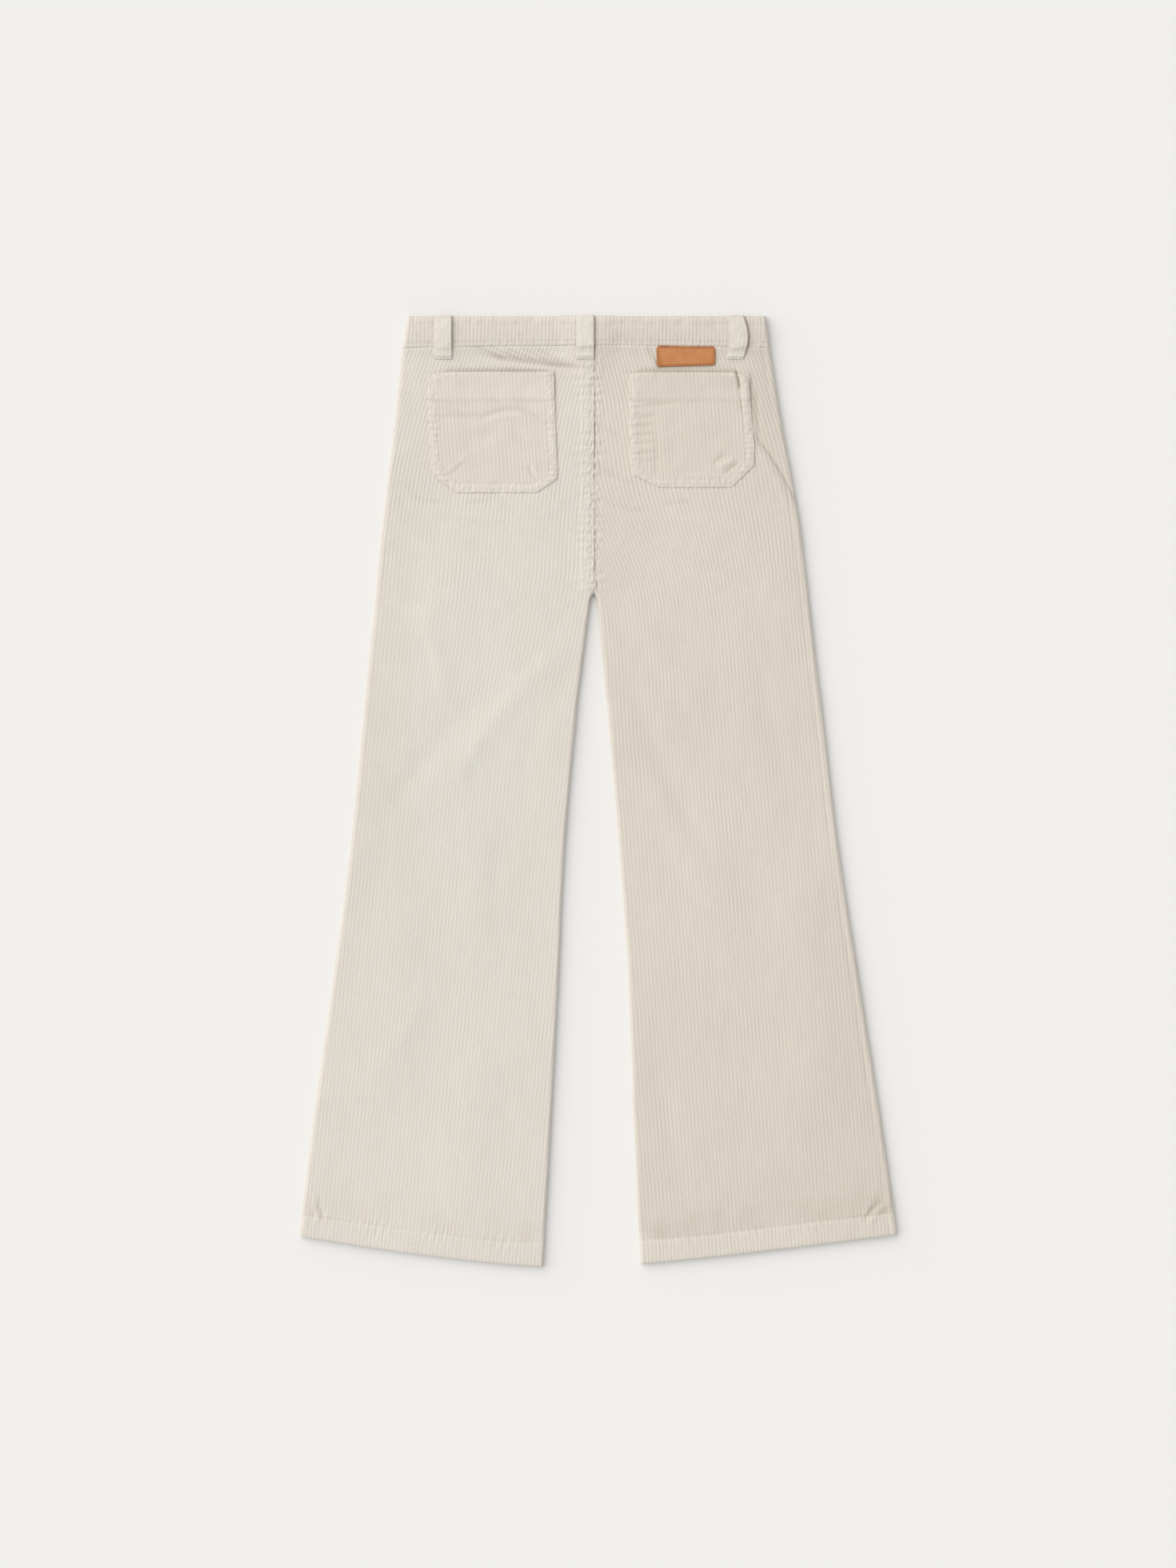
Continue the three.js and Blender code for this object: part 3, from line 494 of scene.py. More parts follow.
LEFT = Leg(
    side=-1,
    band=(156.7, 160.8),
    hem=(42.5, 247, 799, 25.5, 1.35),
    mouth=(36, 123, 46.3),
    nap=(1.15, 0.8, 1.0),
    hem_shades=(0.2, 0.0, 0.03),
    rim=0.09,
    outline=[
        (25, 160.6, 0), (90, 167.3, 0), (169, 176.9, 0), (231, 183.0, 0), (238, 183.7, 2.7),
        (248, 184.7, 4), (268, 186.8, 6.6), (299, 189.9, 10.4), (327, 192.7, 13.9), (446, 204.3, 24.4),
        (565, 220.1, 30.0), (684, 236.9, 36.3), (802, 250.4, 42.8),
    ],
    grain=[
        (0, 22, 1.0), (64, 18, 1.02), (103, 14, 1.04), (143, 9.5, 1.05), (180, 6, 1.06),
        (222, 5.5, 1.07), (262, 6, 1.05), (340, 6, 1.0), (802, 6, 1.0),
    ],
    folds=[
        (86, 34, 14, 43, 1, 2.1, -1.3), (84, 29.5, 24, 36, 1, 3.5, 1.0), (80, 41, 20, 50, 0, 4, 0.5),
        (96, 27, 75, 36.5, 0, 1.3, -1.0), (84, 27, 61, 37, 0, 1.3, -1.0), (72, 28, 49, 38, 0, 1.3, -1.0),
        (59, 28, 37, 39, 0, 1.3, -0.8), (47, 29, 27, 39, 0, 1.3, -0.8), (31, 284, 117, 390, 4, 8, 0.8),
        (92, 320, 170, 414, 3, 9, -0.7), (20, 300, 60, 380, 3, 8, -0.35), (143, 251, 123, 311, 0, 8, 0.8),
        (120, 180, 130, 330, 0, 22, 0.6), (183, 455, 203, 570, 0, 13, -0.55),
        (77, 440, 84, 490, 0, 9, -0.45), (143, 575, 185, 635, -2, 9, 0.5),
        (150, 700, 110, 770, 4, 12, -0.3), (150, 153, 130, 157, 1, 2.0, -0.3),
        (104, 157, 84, 154, 1, 2.0, -0.3), (140, 164, 80, 170, 2, 4, 0.3),
        (70, 400, 110, 560, 4, 26, 0.9), (150, 470, 175, 650, -4, 24, 0.8),
        (90, 610, 112, 760, 3, 22, 0.8), (236, 744, 231, 758, 0, 1.8, 0.7),
        (232, 744, 227, 757, 0, 1.4, -0.6), (121, 133, 112, 126, 1, 1.2, -0.4),
        (117, 127.5, 110, 125, 0, 1.1, -0.35), (124, 131, 108, 119, 1, 2, 0.3),
        (128, 85, 92, 84, 0, 2.2, -0.5), (90, 84, 58, 80, -2.5, 2.2, -0.7), (60, 80, 44, 87, 0, 2, -0.5),
        (88, 88.5, 56, 85, -2, 3, 0.5), (118, 96, 70, 92, 1, 5, 0.4), (54, 127, 46, 139, 2, 1.3, -0.6),
        (50, 125, 42, 136, 2, 1.6, 0.5), (66, 104, 100, 120, 4, 9, 0.4),
    ],
    shades=[
        (35, 46.4, 125, 46.8, 0.3, 1.1, 0.34), (32.6, 46, 31.8, 66, 0.2, 0.9, 0.38),
        (31.9, 66, 30.0, 134, 0.4, 0.9, 0.16), (50, 149.9, 113, 149.9, 0, 0.9, -0.08),
        (16, 42.6, 40, 40.4, 0, 1.5, 0.15), (60, 44.5, 118, 43.5, 0, 2.0, 0.05),
    ],
)
RIGHT = Leg(
    side=1,
    band=(145, 148.1),
    hem=(39.5, 255.4, 796.5, 24.6, 1.15),
    mouth=(38, 119, 46.7),
    nap=(1.5, 1.25, 1.35),
    hem_shades=(0.32, -0.07, 0.055),
    rim=-0.08,
    outline=[
        (25, 148.1, 0), (90, 158.4, 0), (169, 172.6, 0), (231, 180.3, 0), (238, 181.1, 2.6),
        (248, 182.2, 3.8), (268, 184.5, 5.5), (299, 188.1, 8.5), (327, 191.7, 11.4), (446, 205.9, 21.5),
        (565, 224.4, 29.7), (684, 242.9, 34.0), (802, 259.7, 39.5),
    ],
    grain=[
        (0, 20, 1.0), (64, 18, 1.05), (103, 15, 1.1), (143, 10, 1.12), (180, 8, 1.06),
        (222, 6, 0.97), (262, 5.5, 0.95), (340, 5.5, 0.97), (450, 5.7, 0.99), (600, 4.8, 1.0),
        (802, 4.3, 1.0),
    ],
    folds=[
        (139, 104, 174, 166, 2.5, 1.4, -1.0), (134, 106, 168, 170, 2.5, 3.6, 0.7),
        (136, 64, 139, 104, 0, 2.2, -0.8), (41, 29, 52, 42, 0, 2.6, 0.8), (46, 28, 57, 41, 0, 1.6, -0.5),
        (12, 156, 40, 164, -2, 2.0, -0.3), (60, 160, 82, 157, 1, 2.0, -0.3),
        (30, 172, 110, 176, 2, 5, 0.3), (4, 92, 28, 104, 0, 2.0, -0.4), (4, 128, 32, 142, 0, 2.2, -0.4),
        (174, 364, 187, 469, 2, 12, -0.6), (33, 250, 90, 325, -3, 11, 1.2),
        (28, 300, 100, 465, -4, 10, -1.0), (50, 395, 116, 498, -2, 12, 1.0),
        (8, 252, 74, 350, -6, 9, 0.7), (140, 300, 168, 425, 0, 10, -0.6), (52, 630, 70, 705, 0, 9, -0.7),
        (110, 190, 128, 350, 0, 24, 0.6), (95, 400, 120, 570, -4, 26, 0.9),
        (170, 480, 190, 660, 4, 22, 0.8), (58, 756, 120, 752, 0, 3, -0.35),
        (130, 748, 180, 742, 0, 3, -0.3), (230, 756, 254, 738, 3, 1.6, -1.1),
        (234, 760, 257, 742, 3, 2.4, 0.8), (150, 690, 240, 700, 3, 9, -0.4),
        (60, 730, 130, 742, 3, 6, -0.4), (140, 738, 215, 728, 3, 6, -0.4),
        (119.4, 46, 122.6, 61, 0.4, 1.1, -1.6), (122.8, 62, 125, 80, 0, 1.2, -0.6),
        (127, 50, 128.5, 76, 0, 2.8, 0.6), (44, 76, 66, 73.5, 0, 2.0, -0.5),
        (34, 86, 52, 84, 0, 1.5, -0.5), (34, 93.5, 50, 92, 0, 1.5, -0.5),
        (34, 101, 51, 99, 0, 1.6, -0.55), (35, 108, 50, 106, 0, 1.4, -0.45),
        (36, 116, 52, 114.5, 0, 1.6, -0.5), (37, 123.5, 50, 122, 0, 1.4, -0.4),
        (52, 96, 52, 134, 1, 2.4, -0.35), (106, 128, 117, 121, 0, 2.8, 1.0),
        (111, 132, 121, 124, 0, 1.4, -0.7), (101, 124, 109, 117, 0, 1.4, -0.5),
        (60, 139, 104, 136, 2, 3, 0.3), (70, 92, 112, 104, 3, 12, 0.4),
    ],
    shades=[
        (36, 47.0, 120, 47.0, 0.2, 1.0, 0.3), (131.9, 50, 132.4, 82, 0, 1.0, 0.5),
        (132.6, 80, 136.2, 130, 0, 0.9, 0.18), (58, 145.4, 112, 145.4, 0, 0.9, -0.08),
        (144, 112, 172, 162, 2.2, 0.8, 0.1), (50, 43.8, 105, 42.4, 0, 0.9, 0.25),
        (119.6, 47.5, 122.4, 60, 0.4, 1.0, 0.45),
    ],
)


def band_drop(x):
    """The seam under the waistband dips a little towards the sides, by a parabola."""
    return BAND_DEPTH + BAND_SEAM_DIP * (x / LEFT.band[1]) ** 2


def button_bump(x, drop):
    """The bump that the button underneath makes in all that lies over it."""
    distance = np.hypot(x - BUTTON_AT[0], (drop - BUTTON_AT[1]) * 0.6)
    return BUTTON_RISE * (1 - smooth(9, 30, distance))


def ripple(run, period, seed):
    """Uneven puckers along a seam: a sine wave whose pace and height both wander."""
    pace = run / period + 0.4 * np.sin(run / (1.9 * period) + seed)
    return np.sin(2 * np.pi * pace) * (0.7 + 0.45 * np.sin(run / (1.3 * period) + 2 * seed))


def loop_shade(x, drop):
    """Painted shadow: a dark line at the right edge of each belt loop, where it stands off what it lies on.
    """
    shade = 0.0
    for loop in LOOPS:
        away = x - loop.far(drop) - 0.5 - 0.3 * ripple(drop, 8, loop.dark * 9)
        shade = shade + loop.dark * np.exp(-((away / 0.85) ** 2)) * (1 - smooth(31, 36, drop))
    return shade


def seat_relief(leg, out, drop):
    """Height that the seat seam adds: the raised strip on the left, and puckers on both sides."""
    wave, tick = ripple(drop, 7.5, 1), ripple(drop, 4.2, 3)
    if leg is RIGHT:
        rough = 0.4 * wave + 0.35 * uneven(out, drop, 5.5, 6)
        return rough * (1 - smooth(2, 11, out)) - 0.5 * (1 - smooth(0.2, 2.0, out))
    strip = 1 - smooth(FELL_WIDTH - 1.2, FELL_WIDTH + 0.8, out)
    on_strip = FELL_HEIGHT + 0.2 * wave + 0.16 * tick * np.sin(np.pi * np.clip(out / FELL_WIDTH, 0, 1))
    rough = 0.3 * uneven(out, drop, 6, 3) + 0.25 * uneven(out, drop, 3.4, 8)
    on_strip = on_strip + rough * (1 - 0.6 * smooth(2, 7, out)) - 0.7 * (1 - rounded(out + 0.7, 2.4))
    beside = 0.2 * wave * (1 - smooth(FELL_WIDTH, FELL_WIDTH + 10, out))
    first, second = SEAT_STITCHES
    lines = groove(out - first) + groove(out - second, 0.9, 0.2)
    return strip * on_strip + (1 - strip) * beside + lines


def back_height(leg, out, drop, fine=True):
    """Outer face of a back panel between its wales.

    It is the wall's height times the share that the rounded edges leave, with folds, broad soft
    dents and the button's bump added. The fine form adds what a seam does to the cloth: the
    tucked-under top edge, the seat seam, the hem, the line that the pocket's mouth presses, and
    the one that the right side seam's allowances press beside it.
    """
    z = BACK_Z + fold_lift(leg.folds, out, drop) + button_bump(leg.side * out, drop)
    z = z + 0.28 * uneven(out, drop, 95, 3 + leg.side) + 0.08 * mottle(out, drop + 50 * leg.side)
    if fine:
        z = z + (1 - leg.open_leg(drop)) * seat_relief(leg, out, drop)
        above_hem = leg.hem(out) - drop
        on_hem = smooth(HEM_DEPTH + 1.0, HEM_DEPTH - 1.0, above_hem)
        z = z + HEM_RISE * on_hem + groove(above_hem - HEM_DEPTH + 0.8, 0.9, 0.7)
        pull = np.exp(-(((above_hem - HEM_DEPTH + 2) / 8) ** 2))
        z = z + 0.13 * pull * ripple(out + 0.3 * above_hem, 6.4, 2) - 0.9 * (1 - rounded(above_hem, 3.0))
        near, far, mouth = leg.mouth
        beside = smooth(near - 3, near + 4, out) * (1 - smooth(far - 4, far + 3, out))
        z = z + beside * groove(drop - mouth, 1.5, 1.0)
        under_band = drop - band_drop(leg.side * out)
        z = z + 0.9 * np.exp(-((np.clip(under_band, 0, None) / 5) ** 2))
        z = z - 1.9 * (1 - smooth(-1.3, -0.1, under_band))
        if leg is RIGHT:
            z = z + groove(leg.outseam(drop) - out - 6.5, 1.6, 0.3 + 0.15 * uneven(0 * drop, drop, 70, 2))
    return mix(BACK_RIM, z, leg.roundness(out, drop))


def back_shade(leg, out, drop):
    """Painted shade on a back panel: in its narrow troughs, beside its pocket, at the seat and the hem.

    It is painted also at the outer edge and in the loops' shadows, and lighter just under the band.
    The left thigh's outer side, and the right leg towards its outer side, its hip and its foot, are
    painted darker, where less light falls.
    """
    line_shade, hem_shade, over_shade = leg.hem_shades
    shade = 0.16 * np.clip(-leg.creases(out, drop), 0, 2) + fold_lift(leg.shades, out, drop)
    above_hem = leg.hem(out) - drop
    on_line = np.exp(-(((above_hem - HEM_DEPTH + 0.8) / 0.8) ** 2))
    shade = shade + line_shade * on_line * np.clip(0.5 + 0.6 * uneven(out, 0 * out, 60, 1), 0, 1)
    shade = shade + hem_shade * smooth(HEM_DEPTH + 0.5, HEM_DEPTH - 1.5, above_hem)
    shade = shade - 0.08 * (1 - smooth(0.4, 2.0, drop - band_drop(leg.side * out)))
    shade = shade + leg.rim * (1 - smooth(0, 3.5, leg.outseam(drop) - out))
    over_hem = smooth(HEM_DEPTH + 28, HEM_DEPTH + 8, above_hem)
    over_hem = over_hem * smooth(HEM_DEPTH - 1, HEM_DEPTH + 1, above_hem)
    shade = shade + over_shade * over_hem * (1 + 0.8 * uneven(out, drop, 24, 4))
    shade = shade + loop_shade(leg.side * out, drop)
    if leg is LEFT:
        down_thigh = smooth(90, 160, drop) * (1 - smooth(350, 600, drop))
        return shade + 0.03 * smooth(120, 180, out) * down_thigh
    seat_line = out - 0.8 - 1.2 * smooth(205, 229, drop)
    seat = np.exp(-((seat_line / 1.1) ** 2)) * (0.5 + 0.25 * uneven(0 * drop, drop, 13, 5))
    seat = seat * (1 + 0.5 * smooth(150, 175, drop))
    shade = shade + 0.45 * seat * (1 - leg.open_leg(drop)) + 0.06 * smooth(110, 230, out)
    at_hip = smooth(120, 140, out) * (1 - smooth(90, 150, drop))
    return shade + 0.03 * smooth(350, 700, drop) + 0.05 * at_hip


def rib(grain, along_cloth, seed=0):
    """Share of a wale's height: a broad crest and a narrow foot, uneven and a little ragged."""
    wander = 0.24 * uneven(grain, along_cloth, 46, 7 + seed) + 0.16 * uneven(grain, along_cloth, 13, seed)
    crest = np.clip(0.5 + 0.5 * np.cos(2 * np.pi * (grain + wander) / WALE), 0, 1) ** 0.6
    wear_and_shade = 0.9 + 0.26 * uneven(grain * 2, along_cloth, 19, 1 + seed)
    flat = np.clip(wear_and_shade + 0.2 * uneven(grain, along_cloth, 60, 4), 0.3, 1.25)
    return 0.7 + (crest - 0.7) * flat + np.random.default_rng(seed).normal(0, 0.06, np.shape(crest))


def wale_grid(rows, place, near, far, grain_at, out_at, per_wale, snap=0.18):
    """A grid whose columns follow the wales, so many to each, and whose ends follow the outline.

    The ends of each row, and then each column's place in it, are found by going round their two
    equations a few times. Columns that leave the outline are put on its edge, and first and last
    tell which column that is in each row.
    """
    rows = np.asarray(rows, float)[:, None]
    low = high = np.full_like(rows, 80.0)
    for _ in range(8):
        low, high = near(place(rows, low)), far(place(rows, high))
    step = WALE / per_wale
    start = np.floor(grain_at(low, place(rows, low)).min() / step)
    stop = np.ceil(grain_at(high, place(rows, high)).max() / step)
    lines = np.arange(start, stop + 1) * step
    out = (low + high) / 2 + 0 * lines
    for _ in range(6):
        out = out_at(lines, place(rows, out))
    at_low, at_high = out < low + snap, out > high - snap
    first = at_low.sum(axis=1) - 1
    last = len(lines) - at_high.sum(axis=1)
    out = np.where(at_low, low, np.where(at_high, high, out))
    drop = place(rows, out)
    return {"out": out, "drop": drop, "grain": grain_at(out, drop), "first": first, "last": last}


def mesh_piece(name, points, quads, uv, material, sharp=75):
    """Makes a mesh object of one closed surface, with its faces turned outwards.

    A quad that has two neighbouring corners in one becomes a triangle, and one with more goes.
    The surface is turned inside out if the volume that it holds, in signed corners, is negative.
    """
    twin = quads == np.roll(quads, -1, axis=1)
    whole = quads[twin.sum(axis=1) == 0]
    three = twin.sum(axis=1) == 1
    corners = quads[three][~twin[three]].reshape(-1, 3)
    triangles = np.concatenate([whole[:, [0, 1, 2]], whole[:, [0, 2, 3]], corners])
    a, b, c = (points[triangles[:, k]] for k in range(3))
    if np.einsum("ij,ij->i", a, np.cross(b, c)).sum() < 0:
        whole, corners = whole[:, ::-1], corners[:, ::-1]
    used, loops = np.unique(np.concatenate([whole.ravel(), corners.ravel()]), return_inverse=True)
    points, uv = points[used] / 1000, uv[used]
    starts = np.concatenate([np.arange(len(whole)) * 4, len(whole) * 4 + np.arange(len(corners)) * 3])
    mesh = bpy.data.meshes.new(name)
    mesh.vertices.add(len(points))
    mesh.vertices.foreach_set("co", points.ravel())
    mesh.loops.add(len(loops))
    mesh.loops.foreach_set("vertex_index", loops.astype(np.int32))
    mesh.polygons.add(len(starts))
    mesh.polygons.foreach_set("loop_start", starts.astype(np.int32))
    mesh.update(calc_edges=True)
    for layer, first in (("cloth", 0), ("wear", 2))[:uv.shape[1] // 2]:
        pairs = uv[loops, first:first + 2]
        mesh.uv_layers.new(name=layer).uv.foreach_set("vector", pairs.ravel().astype(np.float32))
    mesh.polygons.foreach_set("use_smooth", np.ones(len(starts), bool))
    mesh.set_sharp_from_angle(angle=np.radians(sharp))
    mesh.validate()
    mesh.materials.append(material)
    piece = bpy.data.objects.new(name, mesh)
    bpy.context.scene.collection.objects.link(piece)
    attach(piece, "root")
    return piece


def cloth_wall(name, grid, side, outer_z, inner_z, per_wale, material, inset=1.2, shade=0):
    """A closed wall of cloth over a wale grid, its outer face shaded where shade says.

    The outer face has every column, numbered in o, and the inner face one for each wale, numbered
    in i and drawn in from the ends by inset. Strips of quads close the four edges between them,
    where near numbers the inner column that lies under each outer one.
    """
    out, drop, first, last = grid["out"], grid["drop"], grid["first"], grid["last"]
    rows, columns = out.shape
    low, high = out[:, :1] + inset, out[:, -1:] - inset
    thin = np.concatenate([np.clip(out[:, ::per_wale], low, high), high], axis=1)
    thin_drop = np.concatenate([drop[:, ::per_wale], drop[:, -1:]], axis=1)
    many = thin.shape[1]
    outer = np.stack([seam_x + side * out, waist_y - drop, outer_z], axis=-1)
    inner = np.stack([seam_x + side * thin, waist_y - thin_drop, inner_z(thin, thin_drop)], axis=-1)
    row, column = np.arange(rows)[:, None], np.arange(columns)
    first, last = first[:, None], last[:, None]
    thin_first, thin_last = first // per_wale, -(-last // per_wale)
    thin_row = row * many + rows * columns
    o = np.clip(column, first, last) + row * columns
    i = np.clip(np.arange(many), thin_first, thin_last) + thin_row
    near = np.clip(np.round(column / per_wale).astype(int), thin_first, thin_last)
    near = np.where(column <= first, thin_first, near)
    near = np.where(column >= last, thin_last, near) + thin_row
    face = [
        np.stack([o[:-1, :-1], o[:-1, 1:], o[1:, 1:], o[1:, :-1]], axis=-1),
        np.stack([i[:-1, :-1], i[1:, :-1], i[1:, 1:], i[:-1, 1:]], axis=-1),
        np.stack([o[0, 1:], o[0, :-1], near[0, :-1], near[0, 1:]], axis=-1),
        np.stack([o[-1, :-1], o[-1, 1:], near[-1, 1:], near[-1, :-1]], axis=-1),
        np.stack([o[:-1, 0], o[1:, 0], i[1:, 0], i[:-1, 0]], axis=-1),
        np.stack([o[1:, -1], o[:-1, -1], i[:-1, -1], i[1:, -1]], axis=-1),
    ]
    quads = np.concatenate([f.reshape(-1, 4) for f in face])
    points = np.concatenate([outer.reshape(-1, 3), inner.reshape(-1, 3)])
    count = np.concatenate([grid["grain"].ravel(), thin.ravel()]) / WALE
    length = np.concatenate([drop.ravel(), thin_drop.ravel()]) / WALE
    # Painted shade for the outer face: an even share everywhere, the piece's own shade and faint mottles.
    wear = np.zeros(len(count))
    wear[:out.size] = np.clip(EVEN_SHADE + shade + 0.02 * mottle(out, drop), 0, 1).ravel()
    return mesh_piece(name, points, quads, np.stack([count, length, wear, 0 * wear], axis=1), material)


def straight_grain(lean):
    """The two ways between a place across the wales and out, for wales that lean by lean degrees."""
    slope = np.tan(np.radians(lean))

    def grain_at(out, drop):
        return out - slope * drop

    def out_at(grain, drop):
        return grain + slope * drop

    return grain_at, out_at


def leg_rows(hip_step, leg_step):
    """Drops at which a leg has rows: close over the hips, wider down the leg, close at the hem."""
    return np.concatenate([
        BAND_DEPTH + np.array([-1.2, -0.7, -0.3, 0.1, 0.5, 0.9]),
        np.arange(BAND_DEPTH + 1.4, 250, hip_step),
        np.arange(252, 772, leg_step),
        np.arange(773, 797, 1.3),
        LEG_LENGTH - np.array([1.0, 0.5, 0.0]),
    ])


def leg_place(leg):
    """The rows' place: parallel to the waistband's seam at the top and to the hem at the bottom."""
    top, bottom = BAND_DEPTH + SEAM_GAP / 2, 745

    def place(row, out):
        share = np.clip((row - top) / (bottom - top), 0, 1)
        waist = (band_drop(out) - BAND_DEPTH) * (1 - share)
        return row + (leg.hem(out) - LEG_LENGTH) * share + waist

    return place


def declare(area, node):
    """Hides the node that a cloth piece replaces."""
    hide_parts(node)


def back_panel(leg, name, tone, per_wale=5):
    """One back panel, as a wall on its wale grid. The left's wavering edge covers the seat seam.

    Its wales are lower on the seat seam's strip and beside it, and end at the waistband. Its inner
    face follows the broad folds, and the narrow ones only where they go down.
    """

    def seat_edge(drop):
        lap = 0.6 + 0.22 * ripple(drop, 8.5, 4) + 0.22 * uneven(0 * drop, drop, 5, 6)
        lap = (lap + 0.12 * ripple(drop, 2.7, 2) + 1.2 * smooth(205, 229, drop)) * (leg is LEFT)
        return leg.inseam(drop) - lap * (1 - leg.open_leg(drop))

    grid = wale_grid(
        leg_rows(1.15, 7.0), leg_place(leg), seat_edge, leg.outseam, leg.grain_at, leg.out_at, per_wale
    )
    out, drop = grid["out"], grid["drop"]
    tall = WALE_HEIGHT * leg.roundness(out, drop) * np.interp(drop, (150, 300, 650), leg.nap)
    least, strip = (0.45, FELL_WIDTH) if leg is LEFT else (0.3, 1.5)
    at_seat = (1 - smooth(strip - 1, strip + 1, out)) * (1 - leg.open_leg(drop))
    tall = tall * mix(1, least, at_seat) * smooth(-0.3, 0.8, drop - band_drop(leg.side * out))
    outer = back_height(leg, out, drop) + tall * rib(grid["grain"], drop)

    def inner(o, d):
        deep = CLOTH + 1.2 * smooth(HEM_DEPTH + 1, HEM_DEPTH - 1, leg.hem(o) - d)
        z = BACK_Z + fold_lift(leg.folds[leg.folds["width"] >= 3], o, d) - deep
        z = z + np.minimum(0, leg.creases(o, d, 3.5)) - 0.3 * (d < 160)
        z = z + 1.3 * (leg is LEFT) * (1 - leg.open_leg(d)) * (1 - smooth(0.5, 3, o))
        z = z - 1.7 * (1 - smooth(-1.3, -0.1, d - band_drop(leg.side * o)))
        return mix(BACK_RIM, z + button_bump(leg.side * o, d), leg.roundness(o, d))

    material = corduroy(f"corduroy_{name}", tone)
    # Painted shade: over the hips the foot of each wale is a little darker and browner, and its crest a
    # little lighter.
    foot = 0.5 - 0.5 * np.cos(2 * np.pi * grid["grain"] / WALE)
    shade = back_shade(leg, out, drop) + 0.10 * (foot - 0.35) * (1 - smooth(110, 260, drop))
    piece = cloth_wall(name, grid, leg.side, outer, inner, per_wale, material, inset=1.0, shade=shade)
    width = leg.outseam(drop[:, 0]) - leg.inseam(drop[:, 0])
    area = np.trapz(width, drop[:, 0])
    declare(area, name)


# The right panel's darker tone is painted shade: its nap catches less light than the left's.
back_panel(LEFT, "back_left", (1.0, 1.0, 1.0))
back_panel(RIGHT, "back_right", (0.95, 0.945, 0.915))


# Front panels. They lie underneath, flat on the surface, with the side edges turned up to meet
# the backs. The wearer's right front laps over the left along the fly.
FRONT_LEAN = 5.5
FRONT_RIM = SIDE_SEAM_Z - SEAM_GAP / 2
FLY_LAP = 12.0
FLY_LIFT = 2.0
FLY_END = 160.0


def front_lift(leg, out, drop):
    """How far a front is held off the surface: by the fly's lap, and by the button."""
    lift = button_bump(leg.side * out, drop)
    if leg is LEFT:
        under = 1 - smooth(FLY_LAP + 1, FLY_LAP + 18, out)
        lift = lift + FLY_LIFT * under * (1 - smooth(FLY_END, FLY_END + 40, drop))
    return lift


def front_panel(leg, name, per_wale=4):
    """One front panel: wale tops rest on the surface, and the wall lies above them."""

    def centre_edge(drop):
        fly = FLY_LAP * np.sqrt(1 - smooth(125, FLY_END, drop)) if leg is RIGHT else 0
        return leg.inseam(drop) - fly

    grid = wale_grid(
        leg_rows(4.6, 11.0), leg_place(leg), centre_edge, leg.outseam, *straight_grain(FRONT_LEAN), per_wale
    )
    out, drop = grid["out"], grid["drop"]
    above_hem = leg.hem(out) - drop
    face = front_lift(leg, out, drop) + WALE_HEIGHT * (1 - rib(grid["grain"], drop, 5))
    face = face - groove(above_hem - HEM_DEPTH + 1.8, 0.9, 0.4) + 1.2 * (1 - rounded(above_hem, 1.6))
    if leg is RIGHT:
        face = face + 1.0 * (1 - rounded(out - centre_edge(drop), 1.2)) * (drop < FLY_END)

    def inner(o, d):
        thick = WALE_HEIGHT + 0.9 + 1.1 * smooth(HEM_DEPTH + 1, HEM_DEPTH - 1, leg.hem(o) - d)
        return mix(FRONT_RIM, front_lift(leg, o, d) + thick, leg.roundness(o, d))

    outer = mix(FRONT_RIM, face, leg.roundness(out, drop))
    piece = cloth_wall(name, grid, leg.side, outer, inner, per_wale, corduroy(f"corduroy_{name}"))
    width = leg.outseam(drop[:, 0]) - centre_edge(drop[:, 0])
    declare(np.trapz(width, drop[:, 0]), name)


front_panel(LEFT, "front_left")
front_panel(RIGHT, "front_right")


# Back waistband. One folded strip with upright wales, its fold along the waist's edge and its
# lower edge turned under and topstitched over the backs.
BAND_SEEN = (306, 26)
BAND_Z = 7.5
BAND_WALL = 2.5
BAND_FOLD = 2.2
BAND_LEAN = -1.5
BAND_STITCH_UP = 3.6


def waist_end(leg, drop):
    """Where the waistband's side seam lies at a drop."""
    return mix(leg.band[0], leg.band[1], drop / BAND_DEPTH)


def waist_left(drop):
    return -waist_end(LEFT, drop)


def waist_right(drop):
    return waist_end(RIGHT, drop)


def band_roundness(x, drop):
    """Share of full height, less near the two side seams."""
    return rounded(waist_right(drop) - x) * rounded(x - waist_left(drop))


def band_place(row, x):
    """The rows' place: level at the waist's edge, and along the dipping seam at the bottom."""
    return row * (band_drop(x) - SEAM_GAP / 2) / BAND_DEPTH


def band_height(x, drop):
    """Outer face of the back waistband between its wales.

    It bulges between the rounded fold at the top and the turned-under edge at the bottom, and
    the topstitching and the facing's edge inside press two lines into it.
    """
    up = band_drop(x) - SEAM_GAP / 2 - drop
    z = BAND_Z + 0.5 * np.sin(np.pi * np.clip(drop / BAND_DEPTH, 0, 1)) + button_bump(x, drop)
    z = z + 0.2 * uneven(x, drop, 34, 5) - BAND_FOLD * (1 - rounded(drop, 2 * BAND_FOLD))
    z = z + 0.22 * uneven(x, 0.6 * drop, 9, 3) * (1 - smooth(4, 13, drop)) + groove(drop - 8, 1.2, 0.25)
    z = z - 0.6 * (1 - rounded(up, 2.6)) + groove(up - BAND_STITCH_UP, 0.8, 0.3)
    z = z + 0.16 * ripple(x, 6.5, 5) * np.exp(-(((up - 2) / 3) ** 2))
    return mix(BACK_RIM, z, band_roundness(x, drop))


def band_inner(x, drop):
    """Lower face of the back waistband, which thins to a lip along its turned-under edge."""
    thin = 1.65 * (1 - smooth(0, 2.2, band_drop(x) - drop))
    z = BAND_Z - BAND_WALL + thin + button_bump(x, drop)
    return mix(BACK_RIM, z, band_roundness(x, drop))


